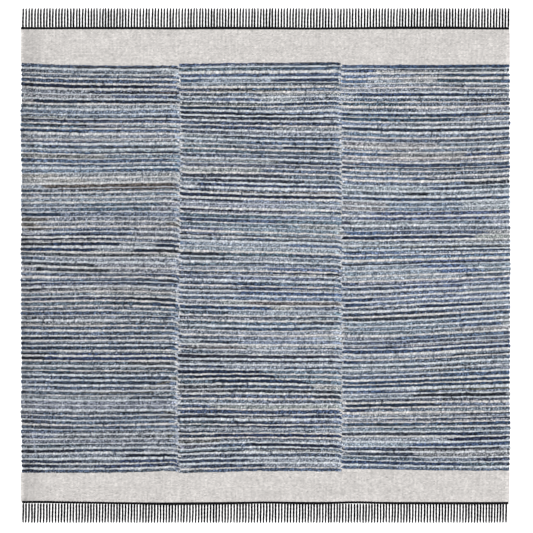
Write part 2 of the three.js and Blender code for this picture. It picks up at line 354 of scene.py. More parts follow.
@dataclass
class EffectShelf:
    """Builds each shared effect when a finish first asks for it, and keeps it for the next."""

    spin_step: float = 0.35
    cleft_reach: float = 0.35
    fibre_lean: float = 0.7
    fibre_spread: float = 1.6
    fibre_detail: float = 3.0
    fibre_roughness: float = 0.62
    fibre_range: Range = (0.3, 0.7)
    fleck_roughness: float = 0.6
    fleck_edge: float = 0.07
    fewest_flecks: float = 0.66
    most_flecks: float = 0.44
    tone_step: float = 0.21
    tone_layer: float = 4.7
    tone_range: Range = (0.28, 0.72)
    fold_wobbles: float = 90.0
    fold_sway: float = 1.4
    fold_pick_step: float = 4.0
    folds_up_a_pick: float = 1.3
    fold_softness: float = 0.12
    fold_unevenness: float = 0.95
    chance_range: Range = (0.1, 0.9)
    profile_range: Range = (0.15, 0.75)
    groups: dict[Effect, NodeTree] = field(default_factory=dict)

    def place(self, board: NodeBoard, effect: Effect, inputs: dict) -> Node:
        """Puts an effect into a finish.

        Args:
            board: the finish's nodes.
            effect: which effect.
            inputs: a value or a socket for each of its inputs.

        Returns:
            The group node, whose outputs have the effect's names.
        """
        if effect not in self.groups:
            builders = {
                Effect.YARN_TWIST: self._yarn_twist,
                Effect.FIBRE_FUZZ: self._fibre_fuzz,
                Effect.RAG_MOTTLE: self._rag_mottle,
                Effect.RAG_FOLDS: self._rag_folds,
            }
            self.groups[effect] = builders[effect]()
        return board.add("ShaderNodeGroup", inputs, node_tree=self.groups[effect])

    @staticmethod
    def _new_group(effect: Effect, inputs: tuple[str, ...], outputs: tuple[str, ...]) -> tuple:
        """Makes an empty group with plain number sockets.

        Args:
            effect: the effect that it is for.
            inputs: the names of its inputs.
            outputs: the names of its outputs.

        Returns:
            The group's board, the sockets that it is given, and those that it gives.
        """
        tree = bpy.data.node_groups.new(effect.value, "ShaderNodeTree")
        for name in inputs:
            tree.interface.new_socket(name, in_out="INPUT", socket_type="NodeSocketFloat")
        for name in outputs:
            tree.interface.new_socket(name, in_out="OUTPUT", socket_type="NodeSocketFloat")
        board = NodeBoard(tree)
        return board, board.add("NodeGroupInput").outputs, board.add("NodeGroupOutput").inputs

    def _yarn_twist(self) -> NodeTree:
        """Slanting plies along a yarn: Along in metres, Across in yarn widths, Pitch in metres.

        Slant is how many turns a ply leans over one yarn width, and Wander how unevenly it is spun. Ply
        is 1 on the middle of a ply and 0 between plies, and Cleft is 1 between plies.
        """
        names = ("Along", "Across", "Pitch", "Slant", "Wander")
        board, given, result = self._new_group(Effect.YARN_TWIST, names, ("Ply", "Cleft"))
        turns = board.math("DIVIDE", given["Along"], given["Pitch"])
        slant = board.math("MULTIPLY", given["Across"], given["Slant"])
        place = board.vector(board.math("MULTIPLY", turns, self.spin_step), given["Across"])
        drift = board.math("SUBTRACT", board.noise(place, 1.0), 0.5)
        drift = board.math("MULTIPLY", drift, given["Wander"])
        phase = board.math("ADD", board.math("ADD", turns, slant), drift)
        wave = board.math("SINE", board.math("MULTIPLY", phase, math.tau))
        ply = board.gain(wave, 0.5, 0.5)
        board.feed(result["Ply"], ply)
        board.feed(result["Cleft"], board.ramp(ply, 0.0, self.cleft_reach, 1.0, 0.0))
        return board.tree

    def _fibre_fuzz(self) -> NodeTree:
        """Short stray fibres: Along and Across in metres, Size the length of a fibre in metres."""
        names = ("Along", "Across", "Size")
        board, given, result = self._new_group(Effect.FIBRE_FUZZ, names, ("Height", "Shade"))
        along = board.math("DIVIDE", given["Along"], given["Size"])
        across = board.math("DIVIDE", given["Across"], given["Size"])
        slanted = board.gain(across, self.fibre_spread, board.math("MULTIPLY", along, self.fibre_lean))
        fuzz = board.noise(board.vector(along, slanted), 1.0, self.fibre_detail, self.fibre_roughness)
        board.feed(result["Height"], fuzz)
        board.feed(result["Shade"], board.ramp(fuzz, *self.fibre_range, -1.0, 1.0))
        return board.tree

    def _rag_mottle(self) -> NodeTree:
        """Flecks of another shade in a yarn: Along in metres, Across in yarn widths, Share from 0 to 1.

        Fleck is 1 on a fleck of the given Length, and Tone a slower change of shade from -1 to 1.
        """
        names = ("Along", "Across", "Length", "Share", "Seed")
        board, given, result = self._new_group(Effect.RAG_MOTTLE, names, ("Fleck", "Tone"))
        along = board.math("DIVIDE", given["Along"], given["Length"])
        place = board.vector(along, given["Across"], given["Seed"])
        fine = board.noise(place, 1.0, roughness=self.fleck_roughness)
        edge = board.ramp(given["Share"], 0.0, 1.0, self.fewest_flecks, self.most_flecks)
        above = board.math("DIVIDE", board.math("SUBTRACT", fine, edge), self.fleck_edge, clamp=True)
        broad = board.vector(board.math("MULTIPLY", along, self.tone_step), given["Across"], self.tone_layer)
        board.feed(result["Fleck"], above)
        tone = board.noise(broad, 1.0, 1.0)
        board.feed(result["Tone"], board.ramp(tone, *self.tone_range, -1.0, 1.0))
        return board.tree

    def _rag_folds(self) -> NodeTree:
        """The small folds of a pick: Along in metres, Pick its number, Width a fold's width in metres.

        Lean is how far a fold leans over the height of a pick, in folds. Chance is a random value from
        -1 to 1 for each fold, and Profile is 1 on a fold's middle and 0 between folds.
        """
        names = ("Along", "Pick", "Width", "Lean")
        board, given, result = self._new_group(Effect.RAG_FOLDS, names, ("Chance", "Profile"))
        number = board.math("FLOOR", given["Pick"])
        within = board.math("FRACT", given["Pick"])
        wobble = board.vector(board.math("MULTIPLY", given["Along"], self.fold_wobbles), number)
        sway = board.math("MULTIPLY", board.noise(wobble, 1.0, 0.0), self.fold_sway)
        cell = board.math("DIVIDE", given["Along"], given["Width"])
        cell = board.math("ADD", cell, board.math("MULTIPLY", within, given["Lean"]))
        upwards = board.math("MULTIPLY", within, self.folds_up_a_pick)
        place = board.vector(board.math("ADD", cell, sway), board.gain(number, self.fold_pick_step, upwards))
        inputs = {"Smoothness": self.fold_softness, "Randomness": self.fold_unevenness}
        inputs |= {"Vector": place, "Scale": 1.0}
        folds = board.add("ShaderNodeTexVoronoi", inputs, voronoi_dimensions="2D", feature="SMOOTH_F1")
        colour = board.add("ShaderNodeSeparateColor", {0: folds.outputs["Color"]})
        board.feed(result["Chance"], board.ramp(colour.outputs["Red"], *self.chance_range, -1.0, 1.0))
        profile = board.ramp(folds.outputs["Distance"], *self.profile_range, 1.0, 0.0)
        board.feed(result["Profile"], profile)
        return board.tree


# Finishes. Lengths, widths and depths on the shaders are in metres. The underside starts further along
# the weave map than the upper face, so that it has flecks and fibres of its own.

WEAVE_MAP = "weave"
BAKE_MAP = "OFBake"
UNDERSIDE_START = 5.0
YARN_COLOURS = "yarn"
# The relief attribute is painted shade on the cloth, 1 on a crest and lower in grooves and dips, and wear on
# the cords.
RELIEF = "relief"


class Twist(NamedTuple):
    """How a yarn is twisted: its pitch, its slant in turns over its width, and how unevenly it is spun."""

    pitch: float
    slant: float
    wander: float


class Bump(NamedTuple):
    """How far the fine relief of a finish stands out."""

    strength: float
    depth: float


class YarnSurface:
    """A yarn finish in the making: its shader, its board, and the two directions of the weave map."""

    sheen_spread: float = 0.6

    def __init__(self, name: str, shelf: EffectShelf, specular: float = 0.15, sheen: float = 0.04) -> None:
        """Starts a finish with the dull surface of cotton: no clear highlight, and a faint sheen.

        Args:
            name: the material's name.
            shelf: the shared effects.
            specular: the strength of its highlight.
            sheen: the strength of its sheen.
        """
        self.material = bpy.data.materials.new(name)
        self.material.use_nodes = True
        self.shader = self.material.node_tree.nodes["Principled BSDF"]
        self.board = NodeBoard(self.material.node_tree)
        self.shelf = shelf
        gloss = {"Specular IOR Level": specular, "Sheen Weight": sheen, "Sheen Roughness": self.sheen_spread}
        for input_name, value in gloss.items():
            self.board.feed(self.shader.inputs[input_name], value)
        place = self.board.add("ShaderNodeUVMap", uv_map=WEAVE_MAP).outputs[0]
        split = self.board.add("ShaderNodeSeparateXYZ", {0: place})
        self.along, self.across = split.outputs["X"], split.outputs["Y"]

    def attribute(self, name: str) -> Node:
        """Reads an attribute of the mesh."""
        return self.board.add("ShaderNodeAttribute", attribute_name=name)

    def effect(self, effect: Effect, inputs: dict) -> Node:
        """Places a shared effect that runs along the yarn."""
        return self.shelf.place(self.board, effect, {"Along": self.along} | inputs)

    def plies(self, twist: Twist) -> Node:
        """Places the plies of a twisted yarn."""
        inputs = {"Across": self.across, "Pitch": twist.pitch, "Slant": twist.slant, "Wander": twist.wander}
        return self.effect(Effect.YARN_TWIST, inputs)

    def fibres(self, width: float, length: float) -> Node:
        """Places stray fibres of one length on a yarn of one width."""
        across = self.board.math("MULTIPLY", self.across, width)
        return self.effect(Effect.FIBRE_FUZZ, {"Across": across, "Size": length})

    def shaded(self, colour: Socket, red: Socket, green: Socket, blue: Socket) -> Socket:
        """A colour times a shade for each of its three parts."""
        return self.board.mix(1.0, colour, self.board.vector(red, green, blue), blend="MULTIPLY")

    def relief(self, ply: Node, plies: float, fuzz: Node, fibres: float) -> Socket:
        """The height of the plies and the fibres together."""
        return self.board.gain(ply.outputs["Ply"], plies,
                               self.board.math("MULTIPLY", fuzz.outputs["Height"], fibres))

    def roughness(self, fuzz: Node, spread: float = 0.12, least: float = 0.84) -> Socket:
        """A roughness that follows the fibres."""
        return self.board.gain(fuzz.outputs["Height"], spread, least)

    def finish(self, colour: Socket, roughness: object, height: Socket, bump: Bump) -> Material:
        """Feeds the shader.

        Args:
            colour: the finished colour.
            roughness: a number, or a socket.
            height: the fine relief.
            bump: how far it stands out.

        Returns:
            The finished material.
        """
        inputs = {"Height": height, "Strength": bump.strength, "Distance": bump.depth}
        self.board.feed(self.shader.inputs["Base Color"], colour)
        self.board.feed(self.shader.inputs["Roughness"], roughness)
        self.board.feed(self.shader.inputs["Normal"], self.board.add("ShaderNodeBump", inputs).outputs[0])
        return self.material


@dataclass(frozen=True)
class RagWeaveFinish:
    """The rag and cotton picks of the columns.

    The yarn colours come from the mesh, with the share of flecks as alpha. The weave map gives metres
    along a pick and the number of the pick, and relief is 1 on a pick's crest and 0 in a groove. The finish
    paints shade into the colour in the grooves, in the clefts between plies and at the edges of folds.
    """

    twist: Twist = Twist(pitch=0.0052, slant=0.9, wander=1.1)
    pick_width: float = 0.0061
    fibre_length: float = 0.0018
    fibre_tone: float = 0.2
    fleck_length: float = 0.0027
    flecks_up_a_pick: float = 1.8
    light_fleck: Colour = linear(180, 185, 193)
    light_strength: float = 0.5
    dark_share: float = 0.55
    dark_seed: float = 9.3
    dark_tone: float = -0.32
    broad_tone: float = 0.1
    fold_width: float = 0.0024
    fold_lean: float = 0.9
    fold_contrast: float = 1.32
    fold_shade: float = -0.2
    fold_edge_shade: float = 0.8
    fold_reach: float = 0.8
    cleft_shade: float = -0.16
    groove_shade: float = 0.36
    groove_reach: float = 0.45
    cotton_evenness: float = 0.2
    rag_flecks: float = 0.2
    dark_level: float = 0.02
    dark_contrast: float = 2.3
    pale_level: float = 0.34
    pale_contrast: float = 1.1
    grey_pull: float = 0.055
    ply_height: float = 0.4
    fibre_height: float = 0.5
    fold_height: float = 0.8
    bump: Bump = Bump(strength=0.7, depth=0.0012)

    def material(self, shelf: EffectShelf) -> Material:
        """Builds the material.

        Args:
            shelf: the shared effects.

        Returns:
            The material.
        """
        surface = YarnSurface("rag weave", shelf)
        board, pick = surface.board, surface.across
        yarn = surface.attribute(YARN_COLOURS)
        relief = surface.attribute(RELIEF).outputs["Fac"]
        fleck = {"Across": board.math("MULTIPLY", pick, self.flecks_up_a_pick), "Length": self.fleck_length}
        light = surface.effect(Effect.RAG_MOTTLE, fleck | {"Share": yarn.outputs["Alpha"], "Seed": 0.0})
        dark = surface.effect(Effect.RAG_MOTTLE, fleck | {"Share": self.dark_share, "Seed": self.dark_seed})
        folding = {"Pick": pick, "Width": self.fold_width, "Lean": self.fold_lean}
        folds = surface.effect(Effect.RAG_FOLDS, folding)
        ply = surface.plies(self.twist)
        fuzz = surface.fibres(self.pick_width, self.fibre_length)

        lively = board.ramp(yarn.outputs["Alpha"], 0.0, self.rag_flecks, self.cotton_evenness, 1.0)
        grey = board.add("ShaderNodeRGBToBW", {0: yarn.outputs["Color"]}).outputs[0]
        contrast = board.ramp(grey, self.dark_level, self.pale_level, self.dark_contrast, self.pale_contrast)
        lively = board.math("MULTIPLY", lively, contrast)
        chance = board.math("ADD", folds.outputs["Chance"], self.fold_shade)
        # Painted shade: the clefts between plies, the edges of folds and low relief in the grooves darken
        # the colour. The other steps are random tone and flecks.
        shade = board.product(
            board.gain(board.math("MULTIPLY", light.outputs["Tone"], lively), self.broad_tone),
            board.gain(board.math("MULTIPLY", fuzz.outputs["Shade"], lively), self.fibre_tone),
            board.gain(board.math("MULTIPLY", dark.outputs["Fleck"], lively), self.dark_tone),
            board.math("POWER", board.gain(lively, self.fold_contrast), chance),
            board.gain(ply.outputs["Cleft"], self.cleft_shade),
            board.ramp(folds.outputs["Profile"], 0.0, self.fold_reach, self.fold_edge_shade, 1.0),
            board.ramp(relief, 0.0, self.groove_reach, self.groove_shade, 1.0),
        )
        share = board.math("MULTIPLY", light.outputs["Fleck"], self.light_strength)
        flecked = board.mix(share, yarn.outputs["Color"], self.light_fleck)
        red = board.math("POWER", shade, 1 + self.grey_pull)
        blue = board.math("POWER", shade, 1 - self.grey_pull)
        height = board.total((ply.outputs["Ply"], self.ply_height),
                             (fuzz.outputs["Height"], self.fibre_height),
                             (folds.outputs["Profile"], self.fold_height))
        return surface.finish(surface.shaded(flecked, red, shade, blue), surface.roughness(fuzz), height,
                              self.bump)


@dataclass(frozen=True)
class SeamCottonFinish:
    """The loosely twisted yarns that cross a seam, in the colours that the mesh gives."""

    twist: Twist = Twist(pitch=0.0042, slant=2.0, wander=0.7)
    turn_width: float = 0.015
    fibre_length: float = 0.0016
    fibre_tone: float = 0.12
    cleft_shade: float = -0.4
    ply_height: float = 0.7
    fibre_height: float = 0.5
    bump: Bump = Bump(strength=0.8, depth=0.001)

    def material(self, shelf: EffectShelf) -> Material:
        """Builds the material.

        Args:
            shelf: the shared effects.

        Returns:
            The material.
        """
        surface = YarnSurface("seam cotton", shelf)
        board = surface.board
        yarn = surface.attribute(YARN_COLOURS)
        ply = surface.plies(self.twist)
        fuzz = surface.fibres(self.turn_width, self.fibre_length)
        # Painted shade in the clefts between the plies.
        shade = board.product(board.gain(ply.outputs["Cleft"], self.cleft_shade),
                              board.gain(fuzz.outputs["Shade"], self.fibre_tone))
        height = surface.relief(ply, self.ply_height, fuzz, self.fibre_height)
        return surface.finish(surface.shaded(yarn.outputs["Color"], shade, shade, shade),
                              surface.roughness(fuzz), height, self.bump)


@dataclass(frozen=True)
class CreamWeaveFinish:
    """The plain cream bands: fine cotton picks, unevenly spun, in the shade that the mesh gives, with
    painted shade in the grooves.
    """

    twist: Twist = Twist(pitch=0.0034, slant=0.8, wander=0.9)
    pick_width: float = 0.0046
    fibre_length: float = 0.002
    fibre_tone: float = 0.09
    speck: Colour = linear(150, 147, 146)
    speck_length: float = 0.0036
    speck_share: float = 0.35
    speck_seed: float = 2.0
    speck_strength: float = 0.3
    roughness: Range = (0.1, 0.86)
    groove_shade: float = 0.78
    groove_reach: float = 0.8
    ply_height: float = 0.5
    fibre_height: float = 0.6
    bump: Bump = Bump(strength=0.6, depth=0.0007)

    def material(self, shelf: EffectShelf) -> Material:
        """Builds the material.

        Args:
            shelf: the shared effects.

        Returns:
            The material.
        """
        surface = YarnSurface("cream weave", shelf, sheen=0.03)
        board = surface.board
        yarn = surface.attribute(YARN_COLOURS)
        relief = surface.attribute(RELIEF).outputs["Fac"]
        specks = {"Length": self.speck_length, "Share": self.speck_share, "Seed": self.speck_seed}
        grain = surface.effect(Effect.RAG_MOTTLE, specks | {"Across": surface.across})
        ply = surface.plies(self.twist)
        fuzz = surface.fibres(self.pick_width, self.fibre_length)
        share = board.math("MULTIPLY", grain.outputs["Fleck"], self.speck_strength)
        colour = board.mix(share, yarn.outputs["Color"], self.speck)
        # Painted shade: the colour is darkened where the relief is low, in the grooves between picks.
        shade = board.product(board.gain(fuzz.outputs["Shade"], self.fibre_tone),
                              board.ramp(relief, 0.0, self.groove_reach, self.groove_shade, 1.0))
        height = surface.relief(ply, self.ply_height, fuzz, self.fibre_height)
        return surface.finish(surface.shaded(colour, shade, shade, shade),
                              surface.roughness(fuzz, *self.roughness), height, self.bump)


@dataclass(frozen=True)
class CharcoalCordFinish:
    """The charcoal cotton of the edgings and fringes, a little greyer where the mesh says it is worn."""

    twist: Twist = Twist(pitch=0.0045, slant=2.0, wander=0.5)
    turn_width: float = 0.014
    fibre_length: float = 0.0011
    fibre_tone: float = 0.1
    deep: Colour = linear(15, 15, 18)
    worn: Colour = linear(56, 56, 57)
    cleft_shade: float = -0.45
    roughness: float = 0.88
    ply_height: float = 0.7
    fibre_height: float = 0.5
    bump: Bump = Bump(strength=0.8, depth=0.0008)

    def material(self, shelf: EffectShelf) -> Material:
        """Builds the material.

        Args:
            shelf: the shared effects.

        Returns:
            The material.
        """
        surface = YarnSurface("charcoal cord", shelf, specular=0.08, sheen=0.0)
        board = surface.board
        wear = surface.attribute(RELIEF).outputs["Fac"]
        ply = surface.plies(self.twist)
        fuzz = surface.fibres(self.turn_width, self.fibre_length)
        hair = board.math("MULTIPLY", fuzz.outputs["Shade"], self.fibre_tone)
        colour = board.mix(board.math("ADD", wear, hair, clamp=True), self.deep, self.worn)
        # Painted shade in the clefts between the plies.
        shade = board.gain(ply.outputs["Cleft"], self.cleft_shade)
        height = surface.relief(ply, self.ply_height, fuzz, self.fibre_height)
        return surface.finish(surface.shaded(colour, shade, shade, shade), self.roughness, height, self.bump)


@dataclass(frozen=True)
class StudioFloorFinish:
    """The plain pale floor."""

    colour: Colour = (0.85, 0.85, 0.85)
    glow: float = 0.7
    roughness: float = 0.95

    def material(self) -> Material:
        """Builds the material."""
        material = bpy.data.materials.new("studio floor")
        material.use_nodes = True
        board = NodeBoard(material.node_tree)
        shader = material.node_tree.nodes["Principled BSDF"]
        values = {
            "Base Color": self.colour,
            "Roughness": self.roughness,
            "Specular IOR Level": 0.0,
            "Emission Color": (1.0, 1.0, 1.0),
            "Emission Strength": self.glow,
        }
        for name, value in values.items():
            board.feed(shader.inputs[name], value)
        return material


# Cloth: a closed grid whose points are moved into the weave.


@dataclass(frozen=True)
class GridPoints:
    """Which station and line of a cloth grid each mesh point is, and whether it is on the upper face."""

    stations: int
    lines: int
    station: Array
    line: Array
    upper: Array

    @property
    def over(self) -> Array:
        """Whether the pick passes over the warp at each point, seen from the point's own face."""
        return ((self.station + self.line // 2) % 2 == 0) == self.upper

    def speckle(self, rng: Chance, amount: float) -> Array:
        """A random amount of either sign for each place on the grid, the same on both faces."""
        return rng.uniform(-amount, amount, (self.lines, self.stations))[self.line, self.station]

    def thinned(self, height: Array, thickness: float, left: Range, right: Range) -> Array:
        """Thins a cloth towards its side edges, and makes its underside the mirror of its upper face.

        Args:
            height: the height that the upper face would have at each point.
            thickness: the cloth's greatest thickness.
            left: the shares of the height that are kept at the two stations furthest left.
            right: the same for the two furthest right, from the edge inwards.

        Returns:
            The height of each point.
        """
        middle = thickness / 2
        share = np.ones(len(height))
        for step in range(2):
            share = np.where(self.station == step, left[step], share)
            share = np.where(self.stations - 1 - self.station == step, right[step], share)
        rise = (np.minimum(height, thickness) - middle) * share
        return np.where(self.upper, middle + rise, middle - rise)


@dataclass(frozen=True)
class ClothGrid:
    """A closed sheet with an upper face, an underside and a thin rim.

    Stations run from the left to the right, and lines from the far side to the near side.
    """

    name: str
    stations: int
    lines: int

    def blank(self) -> tuple[Mesh, GridPoints]:
        """Makes the flat sheet.

        Returns:
            The mesh, and where each of its points belongs.
        """
        shell = bmesh.new()
        bmesh.ops.create_grid(shell, x_segments=self.stations - 1, y_segments=self.lines - 1, size=1.0)
        bmesh.ops.solidify(shell, geom=shell.faces[:], thickness=1.0)
        bmesh.ops.recalc_face_normals(shell, faces=shell.faces[:])
        shell.verts.index_update()
        shell.faces.sort(key=self._turn)
        mesh = finished_mesh(shell, self.name)
        places = read_points(mesh)
        points = GridPoints(
            stations=self.stations,
            lines=self.lines,
            station=np.rint((places[:, 0] + 1) / 2 * (self.stations - 1)).astype(int),
            line=np.rint((1 - places[:, 1]) / 2 * (self.lines - 1)).astype(int),
            upper=places[:, 2] > places[:, 2].mean(),
        )
        return mesh, points

    def _turn(self, face: bmesh.types.BMFace) -> float:
        """When a face's turn is, by its points. The rim's faces would come in a new order each run.

        Args:
            face: a face of the sheet.

        Returns:
            A number that no other face has.
        """
        numbers = [vert.index for vert in face.verts]
        return float(min(numbers) * 2 * self.stations * self.lines + max(numbers))

    def cells(self, mesh: Mesh, points: GridPoints) -> tuple[Array, Array]:
        """Finds the grid cell of each face corner.

        Args:
            mesh: the sheet.
            points: where each of its points belongs.

        Returns:
            The station and the line at which each corner's cell starts.
        """
        corners = corner_points(mesh).reshape(-1, 4)
        station = np.minimum(points.station[corners].min(axis=1), self.stations - 2)
        line = np.minimum(points.line[corners].min(axis=1), self.lines - 2)
        return np.repeat(station, 4), np.repeat(line, 4)

    def lay_out(self, mesh: Mesh, points: GridPoints, cuts: int, columns: int) -> None:
        """Adds the bake map: the two faces of the cloth in equal strips, with its rim beside them.

        Args:
            mesh: the sheet.
            points: where each of its points belongs.
            cuts: into how many strips a face is cut.
            columns: how many strips lie side by side on the map.
        """
        corners = corner_points(mesh)
        station, line, upper = points.station[corners], points.line[corners], points.upper[corners]
        faces = corners.reshape(-1, 4)
        mixed = points.upper[faces].any(axis=1) & ~points.upper[faces].all(axis=1)
        side_rim = np.repeat(mixed & (np.ptp(points.station[faces], axis=1) == 0), 4)
        end_rim = np.repeat(mixed, 4) & ~side_rim
        face_up = upper | side_rim | end_rim
        length = -(-self.stations // cuts)
        strip = self.cells(mesh, points)[0] // length
        across = (station - strip * length) / length
        across = np.where(face_up, across, 1 - across)
        chart = BakeChart(2 * cuts, columns)
        outside = np.where(upper, chart.rim_start, chart.rim_stop) * chart.margin
        left_or_far = np.where(side_rim, station == 0, line == 0)
        push = np.where(left_or_far, -outside, outside)
        u, v = chart.place(strip + np.where(face_up, 0, cuts), across, line / (self.lines - 1))
        write_map(mesh, BAKE_MAP, u + np.where(side_rim, push, 0.0), v - np.where(end_rim, push, 0.0))


@dataclass(frozen=True)
class BakeChart:
    """A square map that is shared out in equal cells, each with a margin."""

    cells: int
    columns: int
    margin: float = 0.004
    rim_start: float = 0.35
    rim_stop: float = 0.75

    def place(self, cell: Array, across: Array, down: Array) -> tuple[Array, Array]:
        """Finds places on the map.

        Args:
            cell: the number of the cell.
            across: the place across its inside, from 0 to 1.
            down: the place down its inside, from 0 to 1.

        Returns:
            The two coordinates on the map.
        """
        rows = -(-self.cells // self.columns)
        width, height = 1 / self.columns, 1 / rows
        u = cell % self.columns * width + self.margin + across * (width - 2 * self.margin)
        v = cell // self.columns * height + self.margin + down * (height - 2 * self.margin)
        return u, 1 - v


def finished_mesh(shell: bmesh.types.BMesh, name: str) -> Mesh:
    """Turns a shell into a mesh, and frees the shell."""
    mesh = bpy.data.meshes.new(name)
    shell.to_mesh(mesh)
    shell.free()
    return mesh


def read_points(mesh: Mesh) -> Array:
    """The mesh's points, one row each."""
    places = np.empty(len(mesh.vertices) * 3)
    mesh.vertices.foreach_get("co", places)
    return places.reshape(-1, 3)


def corner_points(mesh: Mesh) -> Array:
    """The number of the point at each face corner."""
    numbers = np.empty(len(mesh.loops), dtype=np.int32)
    mesh.loops.foreach_get("vertex_index", numbers)
    return numbers


def write_points(mesh: Mesh, x: Array, y: Array, z: Array) -> None:
    """Moves the mesh's points to places in millimetres, and shades it smooth."""
    mesh.vertices.foreach_set("co", (np.stack([x, y, z], axis=1) * MM).ravel())
    mesh.polygons.foreach_set("use_smooth", np.ones(len(mesh.polygons), dtype=bool))
    mesh.update()


def write_map(mesh: Mesh, name: str, u: Array, v: Array) -> None:
    """Adds a map from one pair of values for each face corner."""
    layer = mesh.uv_layers.new(name=name)
    layer.data.foreach_set("uv", np.stack([u, v], axis=1).ravel())


def write_relief(mesh: Mesh, relief: Array) -> None:
    """Adds the relief, one value for each point: painted shade on the cloth, wear on the cords."""
    layer = mesh.attributes.new(RELIEF, "FLOAT", "POINT")
    layer.data.foreach_set("value", relief.astype(np.float32))


def write_yarns(mesh: Mesh, colours: Array) -> None:
    """Adds the yarn colours, one row of red, green, blue and fleck share for each face corner."""
    layer = mesh.color_attributes.new(YARN_COLOURS, "FLOAT_COLOR", "CORNER")
    layer.data.foreach_set("color", colours.astype(np.float32).ravel())


def new_piece(mesh: Mesh, material: Material, node: str) -> Piece:
    """Puts a finished mesh into the scene as a piece of the rug.

    Args:
        mesh: the piece's mesh, whose name it takes.
        material: its finish.
        node: the CAD node that it stands for.

    Returns:
        The piece, which rides on the rug's one body.
    """
    mesh.materials.append(material)
    piece = bpy.data.objects.new(mesh.name, mesh)
    bpy.context.scene.collection.objects.link(piece)
    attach(piece, BODY)
    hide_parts(node)
    return piece


# Yarns of the columns.


class RagYarn(NamedTuple):
    """A rag yarn: its colour on screen, how many balls of it a lot has, and how flecked it is."""

    red: int
    green: int
    blue: int
    balls: int
    flecks: float


RAG_YARNS = (
    RagYarn(red=34, green=43, blue=58, balls=5, flecks=0.36),
    RagYarn(red=37, green=42, blue=51, balls=3, flecks=0.4),
    RagYarn(red=47, green=61, blue=80, balls=5, flecks=0.45),
    RagYarn(red=67, green=79, blue=93, balls=6, flecks=0.45),
    RagYarn(red=71, green=90, blue=113, balls=5, flecks=0.4),
    RagYarn(red=78, green=97, blue=126, balls=1, flecks=0.4),
    RagYarn(red=90, green=104, blue=119, balls=5, flecks=0.5),
    RagYarn(red=95, green=103, blue=113, balls=3, flecks=0.55),
    RagYarn(red=112, green=117, blue=131, balls=3, flecks=0.55),
    RagYarn(red=115, green=132, blue=149, balls=2, flecks=0.45),
    RagYarn(red=104, green=102, blue=100, balls=2, flecks=0.55),
    RagYarn(red=51, green=68, blue=93, balls=2, flecks=0.35),
    RagYarn(red=42, green=55, blue=78, balls=1, flecks=0.3),
    RagYarn(red=79, green=75, blue=70, balls=1, flecks=0.4),
    RagYarn(red=147, green=138, blue=127, balls=2, flecks=0.45),
    RagYarn(red=150, green=155, blue=164, balls=2, flecks=0.55),
)

COTTON_TINTS = (
    linear(237, 237, 238),
    linear(234, 237, 242),
    linear(240, 237, 236),
    linear(231, 236, 242),
)

SEAM_TINTS = (
    linear(240, 240, 243),
    linear(230, 235, 246),
    linear(205, 214, 231),
    linear(240, 238, 236),
)


# How shades change near an edge, by stations counted from it. The selvedge and band-edge curves are painted
# light and shade of raised edges lit from the left: a light rim and a darker strip inside the left edge, and
# lighter picks along the right edge.
LEFT_SELVEDGE_LIGHT_AND_SHADE = Curve((0, 1, 2, 5, 9), (0.1, -0.12, -0.28, -0.2, 0))
RIGHT_SELVEDGE_LIGHT = Curve((0, 1, 2, 4, 8), (0.2, 0.2, 0.1, 0, 0))
SEAM_FADE = Curve((0, 1, 3, 6), (1, 1, 0.9, 0))
BAND_LEFT_SHADE = Curve((0, 1, 2, 3, 4, 6, 10, 18), (0.02, -0.13, -0.17, -0.25, -0.24, -0.16, -0.15, 0))
BAND_RIGHT_LIGHT = Curve((0, 1, 3, 8), (0.42, 0.18, 0, 0))


